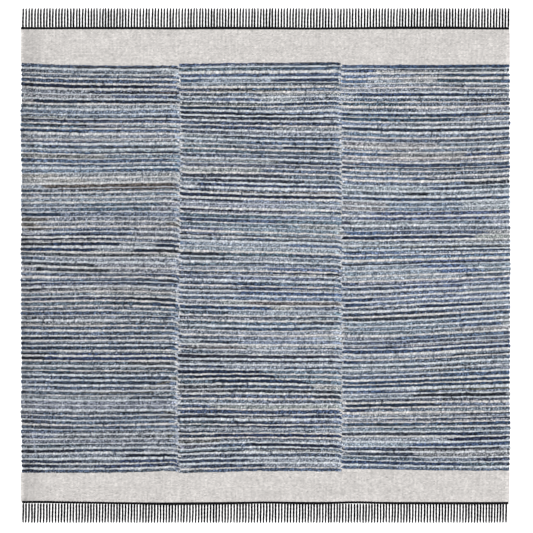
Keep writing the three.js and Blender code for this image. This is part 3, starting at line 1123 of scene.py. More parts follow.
@dataclass(frozen=True)
class YarnLayer:
    """Lays rag strips end to end along each pick of a column.

    A row has three picks: two of rag, numbered 0 and 1, and one of cotton, numbered 2.
    """

    seed: int
    rag_bead: float
    turn_share: float = 0.1
    seam_fade: float = 0.34
    shortest: float = 80.0
    usual: float = 340.0
    longest: float = 900.0
    length_spread: float = 0.6
    first_cut: int = 45
    join_share: float = 0.65
    pair_share: float = 0.55
    turn_slide: int = 16
    pair_slide: int = 3
    ball_tone: Range = (1.0, 1.9)
    hue_spread: float = 0.088
    fleck_spread: Range = (-0.25, 0.3)
    fewest_flecks: float = 0.2
    brightest_rag: float = 0.42
    pale_from: float = 0.08
    pale_over: float = 0.28
    greyest_pale: float = 0.62
    blue_cast: Colour = (0.89, 0.98, 1.098)
    ceiling: float = 0.44
    ceiling_hardness: int = 6
    border_yarn: Colour = linear(74, 91, 117)
    cotton_tone: Range = (0.94, 1.0)
    cotton_specks: float = 0.045
    speck_tone: Range = (0.6, 0.85)
    cotton_bead: float = 0.04
    hue_bead: float = 0.006
    grey_pull: Colour = (1.055, 1.0, 0.945)
    second_pick: float = 0.13
    lot_tone: float = 0.4
    lot_cells: Cells = Cells(19.0, 70.0)
    cotton_drift: float = 0.03
    row_step: float = 3.7
    pick_step: float = 1.9
    drift_stations: float = 9.0
    warp_gap_shade: float = 0.2
    warp_level: float = 0.35
    warp_rows: float = 3.5
    bridges: int = 220
    bridge_kept: Range = (0.1, 0.5)
    slips: int = 9
    slip_tone: Range = (0.5, 0.95)
    slip_kept: Range = (0.35, 0.65)
    left_pale: Range = (0.3, 0.12)
    right_pale: Range = (0.36, 0.18)
    pale_tone: Range = (0.7, 1.0)

    def colours(self, plan: ColumnPlan, stations: int) -> Array:
        """Picks the yarn at every station of every pick.

        Args:
            plan: the column.
            stations: how many stations a pick has.

        Returns:
            Red, green, blue and fleck share for each row, each of its three picks, and each station.
        """
        rng = np.random.default_rng(self.seed)
        basket = self._basket(rng)
        rows, station_width = plan.rows, plan.width / (stations - 1)
        laid = np.zeros((rows, 3, stations, 4))
        for row in range(rows):
            turned = row > 0 and rng.random() < self.turn_share
            fresh = self._pick(rng, basket, stations, station_width)
            laid[row, 0] = self._slid(rng, laid[row - 1, 1], self.turn_slide) if turned else fresh
            paired = rng.random() < self.pair_share
            fresh = self._pick(rng, basket, stations, station_width)
            laid[row, 1] = self._slid(rng, laid[row, 0], self.pair_slide) if paired else fresh
            laid[row, 2] = self._cotton(rng, stations)
        laid[..., :3] *= np.exp(self._shades(rng, rows, stations)[..., None] * np.array(self.grey_pull))
        laid[..., :3] *= np.exp(rng.normal(0, self.hue_bead, (rows, 3, stations, 3)))
        top = laid[:, :2, :, :3].max(axis=-1, keepdims=True)
        hardness = self.ceiling_hardness
        laid[:, :2, :, :3] /= (1 + (top / self.ceiling) ** hardness) ** (1 / hardness)
        laid[[0, -1], :2, :, :3] = np.minimum(laid[[0, -1], :2, :, :3], self.border_yarn)
        from_left = np.arange(stations)
        from_right = from_left[::-1]
        # Painted light and shade at the selvedges: a light rim and a darker strip inside the left one,
        # lighter picks along the right one.
        if not plan.seam_left:
            laid[..., :3] *= np.exp(LEFT_SELVEDGE_LIGHT_AND_SHADE.at(from_left))[:, None]
        if not plan.seam_right:
            laid[..., :3] *= np.exp(RIGHT_SELVEDGE_LIGHT.at(from_right))[:, None]
        if plan.seam_right:
            laid[:, :2, :, :3] *= np.exp(self.seam_fade * SEAM_FADE.at(from_right))[:, None]
        self._add_slips(rng, laid)
        if plan.seam_left:
            self._pale_ends(rng, laid, (0, 1), self.left_pale)
        if plan.seam_right:
            self._pale_ends(rng, laid, (stations - 1, stations - 2), self.right_pale)
        return laid

    @staticmethod
    def _slid(rng: Chance, pick: Array, most: int) -> Array:
        """The same pick, moved sideways by a few stations."""
        return np.roll(pick, rng.integers(-most, most + 1), axis=0)

    @staticmethod
    def _basket(rng: Chance) -> Iterator[RagYarn]:
        """Hands out balls of yarn, lot after lot, each lot in a new order."""
        lot = [yarn for yarn in RAG_YARNS for _ in range(yarn.balls)]
        while True:
            yield from (lot[number] for number in rng.permutation(len(lot)))

    def _pick(self, rng: Chance, basket: Iterator[RagYarn], stations: int, station_width: float) -> Array:
        """Lays one pick of rag yarn.

        Args:
            rng: the column's random numbers.
            basket: where the next ball of yarn comes from.
            stations: how many stations the pick has.
            station_width: the distance from one station to the next.

        Returns:
            Red, green, blue and fleck share at each station.
        """
        pick = np.zeros((stations, 4))
        start = -rng.integers(0, self.first_cut)
        while start < stations:
            length = rng.lognormal(math.log(self.usual), self.length_spread)
            length = np.clip(length, self.shortest, self.longest)
            stop = start + max(int(length / station_width), 1)
            yarn = next(basket)
            colour = np.array(linear(yarn.red, yarn.green, yarn.blue)) * rng.uniform(*self.ball_tone)
            colour *= 1 + rng.uniform(-self.hue_spread, self.hue_spread, 3)
            colour *= min(1.0, self.brightest_rag / colour.max())
            pale = np.clip((colour.max() - self.pale_from) / self.pale_over, 0, 1)
            paleness = self.greyest_pale * pale
            colour = colour * (1 - paleness) + colour.mean() * paleness
            colour *= np.array(self.blue_cast)
            flecks = np.clip(yarn.flecks + rng.uniform(*self.fleck_spread), self.fewest_flecks, 1)
            pick[max(start, 0):stop] = (*colour, flecks)
            if start > 1:
                share = self.join_share
                pick[start - 1] = pick[start - 2] * share + pick[start] * (1 - share)
            start = stop
        return pick

    def _cotton(self, rng: Chance, stations: int) -> Array:
        """Lays one pick of pale cotton, with a darker speck here and there.

        Args:
            rng: the column's random numbers.
            stations: how many stations the pick has.

        Returns:
            Red, green, blue and fleck share at each station.
        """
        tint = np.array(COTTON_TINTS[rng.integers(len(COTTON_TINTS))]) * rng.uniform(*self.cotton_tone)
        chosen = rng.random((stations, 1)) < self.cotton_specks
        specks = np.where(chosen, rng.uniform(*self.speck_tone), 1.0)
        return np.hstack([tint * specks, np.zeros((stations, 1))])

    def _shades(self, rng: Chance, rows: int, stations: int) -> Array:
        """Works out how much lighter or darker each station of each pick is.

        Args:
            rng: the column's random numbers.
            rows: how many rows the column has.
            stations: how many stations a pick has.

        Returns:
            The natural logarithm of the shade for each row, pick and station.
        """
        spread = np.array([self.rag_bead, self.rag_bead, self.cotton_bead])[:, None]
        beads = rng.normal(0, 1, (rows, 3, stations)) * spread
        row, pick, station = np.meshgrid(np.arange(rows), np.arange(3), np.arange(stations), indexing="ij")
        is_rag = pick < 2
        steps = row * self.row_step + pick * self.pick_step
        drift = SoftNoise(self.seed + 11).at(steps, station / self.drift_stations)
        beads += np.where(is_rag, self.second_pick, self.cotton_drift) * drift
        lots = SoftNoise(self.seed + 13).over(row, station, self.lot_cells)
        beads += np.where(is_rag, self.lot_tone, self.cotton_drift) * lots
        # Painted shade: darker streaks down the gaps between warps.
        warps = SoftNoise(self.seed + 12).at(station, row / self.warp_rows)
        beads -= self.warp_gap_shade * np.clip(warps - self.warp_level, 0, 1)
        return beads

    def _add_slips(self, rng: Chance, laid: Array) -> None:
        """Lets rag yarn cross the cotton, and pale yarn ends cross the rags, at scattered places.

        Args:
            rng: the column's random numbers.
            laid: the yarns so far, which are changed.
        """
        rows, _, stations, _ = laid.shape
        for _ in range(self.bridges):
            row, station = rng.integers(0, rows - 1), rng.integers(1, stations - 1)
            side = (row, 1) if rng.random() < 0.5 else (row + 1, 0)
            kept = rng.uniform(*self.bridge_kept)
            part = laid[row, 2, station, :3]
            laid[row, 2, station, :3] = part * kept + laid[side[0], side[1], station, :3] * (1 - kept)
        for _ in range(self.slips):
            row, station = rng.integers(0, rows - 3), rng.integers(2, stations - 2)
            tall = rng.integers(1, 3)
            tint = np.array(SEAM_TINTS[rng.integers(1, 3)]) * rng.uniform(*self.slip_tone)
            kept = rng.uniform(*self.slip_kept)
            part = laid[row:row + tall, :, station, :3]
            laid[row:row + tall, :, station, :3] = part * kept + tint * (1 - kept)

    def _pale_ends(self, rng: Chance, laid: Array, stations: tuple[int, int], chances: Range) -> None:
        """Turns the ends of the picks pale at a seam, where the cotton of both columns interlocks.

        Args:
            rng: the column's random numbers.
            laid: the yarns so far, which are changed.
            stations: the two stations nearest the seam, from the seam inwards.
            chances: how likely a pick is pale at each of them.
        """
        rows = len(laid)
        for station, chance in zip(stations, chances):
            pale = rng.random((rows, 2)) < chance
            tints = np.array(SEAM_TINTS)[rng.integers(0, len(SEAM_TINTS), (rows, 2))]
            tints = tints * rng.uniform(*self.pale_tone, (rows, 2, 1))
            laid[:, :2, station, :3] = np.where(pale[..., None], tints, laid[:, :2, station, :3])


class WeaveLine(NamedTuple):
    """One line of points along a row: the height of its upper face, and its relief, which is the painted
    shade that the finish gives it, 1 unshaded and lower darker.

    The height and relief are those over a warp and, second, those where the pick dips under a warp, so that
    grooves and dips get painted shade. Bulge is how far the line stands out at a selvedge, against the
    others.
    """

    height: float
    dipped_height: float
    relief: float
    dipped_relief: float
    bulge: float


RAG_EDGE = WeaveLine(height=4.4, dipped_height=4.2, relief=0.1, dipped_relief=0.0, bulge=-3.6)
RAG_CREST = WeaveLine(height=6.0, dipped_height=5.2, relief=1.0, dipped_relief=0.5, bulge=-1.0)
RAG_MIDDLE = WeaveLine(height=5.1, dipped_height=4.9, relief=0.5, dipped_relief=0.3, bulge=-1.8)
COTTON_CREST = WeaveLine(height=5.5, dipped_height=4.9, relief=1.0, dipped_relief=0.6, bulge=-4.2)
LINES_A_ROW = 6


@dataclass(frozen=True)
class WovenColumn:
    """One woven column: rag rows of two picks with a cotton pick between, as one sheet of cloth."""

    plan: ColumnPlan
    yarns: YarnLayer
    rag_tone: float = 1.0
    rag_spread: float = 1.0
    rag_pivot: float = 0.14
    cotton_tone: float = 1.0
    stations: int = 98
    rag_half_width: float = 5.6
    thickness: float = 6.0
    row_wander: float = 1.0
    row_shift: float = 1.9
    row_swell: float = 0.05
    row_cells: Cells = Cells(31, 30, 60, 64)
    slow_drift: float = 3.6
    slow_cells: Cells = Cells(85, 420, 90, 10)
    mid_drift: float = 2.4
    mid_cells: Cells = Cells(48, 300, 30, 40)
    drift_window: float = 60000.0
    width_wander: float = 0.15
    width_cells: Cells = Cells(9.7, 45, 40, 20)
    pick_sway: float = 0.42
    sway_cells: Cells = Cells(5.3, 62, 80, 70)
    least_gap: float = 0.35
    ragged: float = 0.9
    inner_ragged: float = 0.4
    warp_jitter: float = 0.8
    relief_wander: float = 0.3
    height_wander: float = 0.16
    height_cells: Cells = Cells(1 / 0.9, 1 / 0.57)
    selvedge_reach: float = 1.5
    selvedge_wander: float = 2.4
    selvedge_cells: Cells = Cells(7.1, 23.0)
    selvedge_kept: Range = (0.12, 0.78)
    seam_kept: Range = (0.6, 0.92)

    def build(self, material: Material) -> Piece:
        """Builds, colours and dresses the column.

        Args:
            material: the rag weave finish.

        Returns:
            The column's piece.
        """
        levels, offsets, forms = self._lines()
        grid = ClothGrid(f"column_{self.plan.name}", self.stations, len(levels))
        mesh, points = grid.blank()
        x, y, across = self._places(points, levels, offsets, forms)
        z, relief = self._heights(points, forms)
        write_points(mesh, x, y, z)
        width = self.plan.width
        along = (across + 1) / 2 * width * MM + np.where(points.upper, 0.0, UNDERSIDE_START)
        corners = corner_points(mesh)
        write_map(mesh, WEAVE_MAP, along[corners], points.line[corners] / 2)
        grid.lay_out(mesh, points, cuts=1, columns=2)
        write_relief(mesh, relief)
        self._lay_yarns(mesh, grid, points)
        piece = new_piece(mesh, material, CLOTH_NODE)
        return piece

    def _lines(self) -> tuple[Array, Array, list[WeaveLine]]:
        """Lists the lines of points from the far side to the near side.

        Returns:
            Each line's row level and its distance from it at mid-column, and its form.
        """
        cotton = -self.plan.pitch / 2
        half = self.rag_half_width
        row_lines = [
            (half, RAG_EDGE),
            (half / 2, RAG_CREST),
            (0.0, RAG_MIDDLE),
            (-half / 2, RAG_CREST),
            (-half, RAG_EDGE),
            (cotton, COTTON_CREST),
        ]
        middles = [self.plan.first_rib - row * self.plan.pitch for row in range(self.plan.rows)]
        lines = [(middle, *line) for middle in middles for line in row_lines]
        levels, offsets, forms = zip(*lines[:-1])
        return np.array(levels), np.array(offsets), list(forms)

    def _places(self, points: GridPoints, levels: Array, offsets: Array,
                forms: list[WeaveLine]) -> tuple[Array, Array, Array]:
        """Works out where each point lies, seen from above.

        Args:
            points: the grid's points.
            levels: each line's row level.
            offsets: each line's distance from its row level.
            forms: each line's form.

        Returns:
            The x and y of each point, and its station from -1 to 1.
        """
        rng = np.random.default_rng(self.yarns.seed)
        noise = SoftNoise(self.yarns.seed)
        row = points.line // LINES_A_ROW
        half = float(self.plan.half_width(0.0))
        jitter = rng.uniform(-self.warp_jitter, self.warp_jitter, self.stations) / half
        jitter[[0, -1]] = 0
        across = (np.linspace(-1, 1, self.stations) + jitter)[points.station]
        level, offset, reach = levels[points.line], offsets[points.line], across * half
        swell = 1 + self.width_wander * noise.over(level, reach, self.width_cells)
        swell = swell + rng.normal(0, self.row_swell, self.plan.rows)[row]
        is_edge = np.array([form is RAG_EDGE for form in forms])[points.line]
        is_middle = np.array([form is RAG_MIDDLE for form in forms])[points.line]
        sway = self.rag_half_width * self.pick_sway * noise.over(level, reach, self.sway_cells)
        offset = np.where(is_edge, offset * swell, offset)
        offset = np.where(is_middle, offset + sway, offset)
        shift = rng.uniform(-self.row_shift, self.row_shift, self.plan.rows)
        shift[[0, -1]] = 0
        inside = (self.plan.first_rib - level) * (level - self.plan.last_rib)
        window = np.clip(inside / self.drift_window, 0, 1)
        drift = self.slow_drift * window * noise.over(level, reach, self.slow_cells)
        drift += self.mid_drift * window * noise.over(level, reach, self.mid_cells)
        wander = self.row_wander * noise.over(level, reach, self.row_cells) + shift[row]
        jags = points.speckle(rng, self.ragged) * np.where(is_edge, 1.0, self.inner_ragged)
        y = self.plan.path(level + offset, across) + (wander + drift) + jags
        y = self._keep_order(points, y)
        x = self.plan.x_at(y, across)
        bulge = np.array([form.bulge for form in forms])[points.line] + self.selvedge_reach
        bulge = bulge + self.selvedge_wander * noise.over(level, level, self.selvedge_cells)
        if not self.plan.seam_left:
            x = np.where(points.station == 0, x - bulge, x)
        if not self.plan.seam_right:
            x = np.where(points.station == self.stations - 1, x + bulge, x)
        return x, y, across

    def _keep_order(self, points: GridPoints, y: Array) -> Array:
        """Keeps each line a little nearer than the line before it, so that the cloth doesn't fold.

        Args:
            points: the grid's points.
            y: the height of each point, seen from above.

        Returns:
            The heights with the least gap kept.
        """
        table = np.zeros((points.lines, points.stations))
        table[points.line, points.station] = y
        ramp = self.least_gap * np.arange(points.lines)[:, None]
        table = np.minimum.accumulate(table + ramp, axis=0) - ramp
        return table[points.line, points.station]

    def _heights(self, points: GridPoints, forms: list[WeaveLine]) -> tuple[Array, Array]:
        """Works out each point's height and relief.

        Args:
            points: the grid's points.
            forms: each line's form.

        Returns:
            The heights, and the relief from 0 to 1.
        """
        seed = self.yarns.seed
        own = np.array([(f.height, f.dipped_height, f.relief, f.dipped_relief) for f in forms])[points.line]
        height = np.where(points.over, own[:, 0], own[:, 1])
        # The relief is the painted shade: full on a crest over a warp, less where the pick dips, least in a
        # groove.
        relief = np.where(points.over, own[:, 2], own[:, 3])
        relief = relief + points.speckle(np.random.default_rng(seed + 40), self.relief_wander)
        noise = SoftNoise(seed + 5).over(points.station, points.line, self.height_cells)
        height = height + self.height_wander * noise
        left = self.seam_kept if self.plan.seam_left else self.selvedge_kept
        right = self.seam_kept if self.plan.seam_right else self.selvedge_kept
        return points.thinned(height, self.thickness, left, right), np.clip(relief, 0, 1)

    def _lay_yarns(self, mesh: Mesh, grid: ClothGrid, points: GridPoints) -> None:
        """Colours the picks, one yarn colour for each face.

        Args:
            mesh: the column's mesh.
            grid: its grid.
            points: the grid's points.
        """
        laid = self.yarns.colours(self.plan, self.stations)
        _, line = grid.cells(mesh, points)
        pick = line // 2
        colours = laid[pick // 3, pick % 3, points.station[corner_points(mesh)]]
        shade = colours[:, :3].mean(axis=1) / self.rag_pivot
        tone = self.rag_tone * shade ** (self.rag_spread - 1)
        colours[:, :3] *= np.where(pick % 3 == 2, self.cotton_tone, tone)[:, None]
        write_yarns(mesh, colours)


@dataclass(frozen=True)
class CreamBand:
    """The plain band between the columns and one end of the rug."""

    end: End
    seed: int
    left_spread: float
    right_spread: float = 1.2
    column_stations: int = 122
    picks: int = 29
    thickness: float = 4.9
    crest: float = 4.9
    dipped_crest: float = 4.4
    groove: float = 4.0
    tuck: float = 1.3
    edge_kept: Range = (0.15, 0.8)
    crest_relief: float = 0.9
    dipped_relief: float = 0.6
    groove_relief: float = 0.2
    relief_wander: float = 0.3
    height_wander: float = 0.16
    height_cells: Cells = Cells(1 / 0.8, 1 / 0.6)
    pick_wander: float = 0.8
    pick_cells: Cells = Cells(1 / 0.31, 1 / 0.17)
    ragged: float = 0.6
    ragged_in: float = 4.0
    warp_wander: float = 0.6
    warp_cells: Cells = Cells(1 / 0.23, 1 / 0.7, 0.0, 30.0)
    along_start: float = 2.0
    first_pick: int = 300
    flat_width: float = 1.834
    tint: Colour = linear(215, 211, 208)
    bead: float = 0.085
    warp_tone: float = 0.07
    warp_tone_cells: Cells = Cells(1.0, 9.0)
    patch_tone: float = 0.045
    patch_cells: Cells = Cells(9.0, 5.0)
    pick_tone: float = 0.05
    pick_tone_cells: Cells = Cells(60.0, 1 / 1.3)
    specks: float = 0.04
    speck_tone: float = 0.25

    @property
    def rib(self) -> str:
        """Which rib of a column is next to the band."""
        return "first_rib" if self.end is End.FAR else "last_rib"

    def build(self, material: Material) -> Piece:
        """Builds, colours and dresses the band.

        Args:
            material: the cream weave finish.

        Returns:
            The band's piece.
        """
        lines = 2 * self.picks + 1
        grid = ClothGrid(f"band_{self.end.word}", self.column_stations * len(COLUMNS), lines)
        mesh, points = grid.blank()
        x, y = self._places(points)
        z, relief = self._heights(points)
        write_points(mesh, x, y, z)
        along = x * MM + self.along_start + np.where(points.upper, 0.0, UNDERSIDE_START)
        corners = corner_points(mesh)
        write_map(mesh, WEAVE_MAP, along[corners], points.line[corners] / 2 + self.first_pick)
        grid.lay_out(mesh, points, cuts=len(COLUMNS), columns=1)
        write_relief(mesh, relief)
        self._lay_cotton(mesh, grid, points)
        return new_piece(mesh, material, CLOTH_NODE)

    def flat_size(self) -> tuple[float, float]:
        """The band's width and mean length, in metres."""
        rib = getattr(COLUMNS[1], self.rib)
        length = abs(float(self.end.line(0.0))) - abs(rib) - WovenColumn.rag_half_width
        return self.flat_width, length * MM

    def _across(self, points: GridPoints) -> tuple[Array, Array]:
        """Shares the stations among the three columns, a station's width apart at the seams.

        Args:
            points: the grid's points.

        Returns:
            Which column each point follows, and its place across that column from -1 to 1.
        """
        column = points.station // self.column_stations
        own = points.station % self.column_stations
        across = -1 + (2 * own + 1) / self.column_stations
        across = np.where(points.station == 0, -1.0, across)
        return column, np.where(points.station == points.stations - 1, 1.0, across)

    def _places(self, points: GridPoints) -> tuple[Array, Array]:
        """Works out where each point lies, seen from above.

        Args:
            points: the grid's points.

        Returns:
            The x and y of each point.
        """
        column, across = self._across(points)
        border, x_end, x_border = np.zeros((3, len(column)))
        for number, plan in enumerate(COLUMNS):
            mine = column == number
            level = getattr(plan, self.rib) + self.end.value * (WovenColumn.rag_half_width - self.tuck)
            border[mine] = plan.path(np.full(mine.sum(), level), across[mine])
            x_border[mine] = plan.x_at(border[mine], across[mine])
            x_end[mine] = plan.x_at(np.full(mine.sum(), CLOTH_END * self.end.value), across[mine])
        share = points.line / (points.lines - 1)
        share = share if self.end is End.FAR else 1 - share
        inside = np.sin(np.pi * share)
        jags = points.speckle(np.random.default_rng(self.seed), self.ragged)
        picks = SoftNoise(self.seed).over(points.line, points.station, self.pick_cells)
        warps = SoftNoise(self.seed + 1).over(points.line, points.station, self.warp_cells)
        ends_at = self.end.line(x_end)
        y = ends_at + (border - ends_at) * share
        y += self.pick_wander * inside * picks
        y += np.minimum(inside * self.ragged_in, 1) * jags
        x = x_end + (x_border - x_end) * share
        x += self.warp_wander * warps
        x -= np.where(points.station == 0, self.left_spread, 0.0)
        x += np.where(points.station == points.stations - 1, self.right_spread, 0.0)
        return x, y

    def _heights(self, points: GridPoints) -> tuple[Array, Array]:
        """Works out each point's height and relief.

        Args:
            points: the grid's points.

        Returns:
            The heights, and the relief from 0 to 1.
        """
        on_crest = points.line % 2 == 1
        height = np.where(points.over, self.crest, self.dipped_crest)
        height = np.where(on_crest, height, self.groove)
        # The relief is the painted shade: full on a crest, less where the pick dips, least in a groove.
        relief = np.where(points.over, self.crest_relief, self.dipped_relief)
        relief = np.where(on_crest, relief, self.groove_relief)
        relief = relief + points.speckle(np.random.default_rng(self.seed + 7), self.relief_wander)
        noise = SoftNoise(self.seed + 3).over(points.station, points.line, self.height_cells)
        height = height + self.height_wander * noise
        return points.thinned(height, self.thickness, self.edge_kept, self.edge_kept), np.clip(relief, 0, 1)

    def _lay_cotton(self, mesh: Mesh, grid: ClothGrid, points: GridPoints) -> None:
        """Gives every station of every pick its own shade of cotton.

        Args:
            mesh: the band's mesh.
            grid: its grid.
            points: the grid's points.
        """
        rng = np.random.default_rng(self.seed + 9)
        shades = rng.normal(0, self.bead, (self.picks, points.stations))
        pick, station = np.meshgrid(np.arange(self.picks), np.arange(points.stations), indexing="ij")
        shades += self.warp_tone * SoftNoise(self.seed + 13).over(station, pick, self.warp_tone_cells)
        shades += self.patch_tone * SoftNoise(self.seed + 14).over(station, pick, self.patch_cells)
        shades += self.pick_tone * SoftNoise(self.seed + 15).over(station, pick, self.pick_tone_cells)
        shades -= np.where(rng.random(shades.shape) < self.specks, self.speck_tone, 0.0)
        # Painted shade inside the band's left edge and painted light along its right edge.
        shades += BAND_LEFT_SHADE.at(station)
        shades += BAND_RIGHT_LIGHT.at(points.stations - 1 - station)
        _, line = grid.cells(mesh, points)
        shade = np.exp(shades[line // 2, points.station[corner_points(mesh)]])
        write_yarns(mesh, np.hstack([np.array(self.tint) * shade[:, None], np.zeros((len(shade), 1))]))


# Cords: closed tubes that are laid along a line.


@dataclass(frozen=True)
class CordPoints:
    """Which cord each point belongs to, and where on it: along from 0 to 1, around in turns."""

    cord: Array
    along: Array
    around: Array


@dataclass(frozen=True)
class CordBunch:
    """A number of like cords in one mesh, each a closed tube with rounded ends."""

    name: str
    cords: int
    sides: int
    rings: int
    spacing: float = 4.0

    def blank(self) -> tuple[Mesh, CordPoints]:
        """Makes the straight cords.

        Returns:
            The mesh, and where each of its points belongs.
        """
        shell = bmesh.new()
        bmesh.ops.create_cone(shell, cap_ends=True, segments=self.sides, radius1=1.0, radius2=1.0, depth=1.0)
        long_edges = [edge for edge in shell.edges if abs(edge.verts[0].co.z - edge.verts[1].co.z) > 0.5]
        bmesh.ops.subdivide_edges(shell, edges=long_edges, cuts=self.rings - 2)
        first = shell.verts[:] + shell.edges[:] + shell.faces[:]
        for cord in range(1, self.cords):
            copy = bmesh.ops.duplicate(shell, geom=first)["geom"]
            moved = [part for part in copy if isinstance(part, bmesh.types.BMVert)]
            bmesh.ops.translate(shell, vec=(self.spacing * cord, 0.0, 0.0), verts=moved)
        bmesh.ops.recalc_face_normals(shell, faces=shell.faces[:])
        mesh = finished_mesh(shell, self.name)
        places = read_points(mesh)
        cord = np.rint(places[:, 0] / self.spacing).astype(int)
        around = np.arctan2(places[:, 1], places[:, 0] - self.spacing * cord) / math.tau % 1.0
        return mesh, CordPoints(cord, places[:, 2] + 0.5, around)


def end_taper(along: Array, reach: float, least: float) -> Array:
    """How far a cord has its full radius near its two ends, from least to 1.

    Args:
        along: places on the cord, from 0 to 1.
        reach: the share of the cord that an end takes.
        least: the share of the radius at the very end.

    Returns:
        The share of the radius at each place.
    """
    near = np.clip(np.minimum(along, 1 - along) / reach, 0, 1)
    return least + (1 - least) * np.sqrt(near * (2 - near))


def face_corners(mesh: Mesh) -> tuple[Array, Array]:
    """Where each face's corners start, and how many it has."""
    starts = np.empty(len(mesh.polygons), dtype=np.int32)
    mesh.polygons.foreach_get("loop_start", starts)
    totals = np.empty(len(mesh.polygons), dtype=np.int32)
    mesh.polygons.foreach_get("loop_total", totals)
    return starts, totals


def around_for_map(mesh: Mesh, around: Array, sides: int) -> Array:
    """The turns around a cord at each face corner, with no jump inside a face.

    Args:
        mesh: the cords' mesh.
        around: the turns at each point.
        sides: how many sides a cord has.

    Returns:
        The turns at each face corner.
    """
    corners = around[corner_points(mesh)]
    starts, totals = face_corners(mesh)
    highest = np.repeat(np.maximum.reduceat(corners, starts), totals)
    quad = np.repeat(totals == 4, totals)
    wraps = quad & (highest - corners > 2.0 / sides)
    return np.where(wraps, corners + 1, corners)


def write_cord_maps(mesh: Mesh, points: CordPoints, bunch: CordBunch, along: Array, cuts: int,
                    columns: int) -> None:
    """Adds the weave map of cords, which is metres along and turns around, and their bake map.

    Args:
        mesh: the cords' mesh.
        points: where each of its points belongs.
        bunch: the cords.
        along: metres along its cord at each point.
        cuts: into how many lengths a cord is cut on the bake map.
        columns: how many lengths lie side by side on it.
    """
    corners = corner_points(mesh)
    turns = around_for_map(mesh, points.around, bunch.sides)
    write_map(mesh, WEAVE_MAP, along[corners], turns)
    starts, totals = face_corners(mesh)
    place = points.along[corners]
    first = np.repeat(np.minimum.reduceat(place, starts), totals)
    last = np.repeat(np.maximum.reduceat(place, starts), totals)
    cut = np.minimum((first + last) / 2 * cuts, cuts - 1).astype(int)
    chart = BakeChart(bunch.cords * cuts, columns)
    u, v = chart.place(points.cord[corners] * cuts + cut, place * cuts - cut, turns - turns.min())
    is_cap = first == last
    radius = chart.rim_start * chart.margin
    _, middle = chart.place(points.cord[corners] * cuts + cut, place, np.full(len(v), 0.5))
    outwards = np.where(place > 0.5, radius, -radius)
    u = np.where(is_cap, u + outwards * 1.3 + radius * np.cos(math.tau * turns), u)
    v = np.where(is_cap, middle + np.sign(outwards) * radius * np.sin(math.tau * turns), v)
    write_map(mesh, BAKE_MAP, u, v)


@dataclass(frozen=True)
class SeamStitches:
    """The pale picks of two columns, linked across the seam between them."""

    left: ColumnPlan
    right: ColumnPlan
    seed: int
    radius: float
    size: Range = (0.6, 1.25)
    reach: float = 8.5
    reach_share: Range = (0.6, 1.35)
    drop: float = 7.5
    drop_spread: Range = (-3.5, 6.0)
    offset: float = -1.8
    offset_spread: float = 3.0
    last_station: float = 0.97
    height: float = 3.9
    arch: float = 0.7
    flatness: float = 0.85
    taper_reach: float = 0.3
    taper_least: float = 0.42
    yarn_length: float = 0.02
    yarn_step: float = 0.031
    rag_tints: tuple[Colour, ...] = (linear(170, 186, 210), linear(84, 100, 130))
    tint_chances: tuple[float, ...] = (0.28, 0.23, 0.16, 0.15, 0.1, 0.08)
    tint_tone: Range = (0.84, 1.0)
    flecks: float = 0.1
    rings: int = 9
    sides: int = 6

    def build(self, material: Material) -> Piece:
        """Builds and dresses the stitches of one seam.

        Args:
            material: the seam cotton finish.

        Returns:
            The seam's piece.
        """
        rng = np.random.default_rng(self.seed)
        starts, stops = self._ends(rng)
        bunch = CordBunch(f"seam_{self.left.name}_{self.right.name}", len(starts), self.sides, self.rings)
        mesh, points = bunch.blank()
        size = rng.uniform(*self.size, len(starts))[points.cord]
        reach = self.reach * rng.uniform(*self.reach_share, len(starts))[points.cord]
        shift = rng.uniform(-self.offset_spread, self.offset_spread, len(starts))[points.cord]
        eased = points.along**2 * (3 - 2 * points.along)
        y = starts[points.cord] + (stops - starts)[points.cord] * eased
        seam = self.left.right_line.at(y)
        x = seam + self.offset + shift + (2 * points.along - 1) * reach
        z = self.height + self.arch * np.sin(np.pi * points.along)
        radius = self.radius * size * end_taper(points.along, self.taper_reach, self.taper_least)
        turn = points.around * math.tau
        write_points(mesh, x, y + radius * np.cos(turn), z + radius * self.flatness * np.sin(turn))
        metres = points.along * self.yarn_length + points.cord * self.yarn_step
        write_cord_maps(mesh, points, bunch, metres, cuts=1, columns=8)
        self._colour(mesh, points, rng)
        return new_piece(mesh, material, CLOTH_NODE)

    def _ends(self, rng: Chance) -> tuple[Array, Array]:
        """Matches each pale pick of the left column with one of the right column, mostly a lower one.

        Args:
            rng: the seam's random numbers.

        Returns:
            The heights at which the stitches start and stop.
        """
        def picks(plan: ColumnPlan, across: float) -> Array:
            """The heights of a column's pale picks at one station."""
            levels = plan.first_rib - (np.arange(plan.rows - 1) + 0.5) * plan.pitch
            return plan.path(levels, np.full(len(levels), across))

        starts = picks(self.left, self.last_station)
        candidates = picks(self.right, -self.last_station)
        below = starts - self.drop + rng.uniform(*self.drop_spread, len(starts))
        nearest = np.abs(candidates[None, :] - below[:, None]).argmin(axis=1)
        return starts, candidates[nearest]

    def _colour(self, mesh: Mesh, points: CordPoints, rng: Chance) -> None:
        """Gives each stitch a yarn: mostly cotton, some in rag blue.

        Args:
            mesh: the stitches' mesh.
            points: where each of its points belongs.
            rng: the seam's random numbers.
        """
        yarns = np.array([*SEAM_TINTS, *self.rag_tints])
        picked = yarns[rng.choice(len(yarns), points.cord.max() + 1, p=self.tint_chances)]
        picked = picked * rng.uniform(*self.tint_tone, (len(picked), 1))
        colours = np.hstack([picked, np.full((len(picked), 1), self.flecks)])
        write_yarns(mesh, colours[points.cord[corner_points(mesh)]])


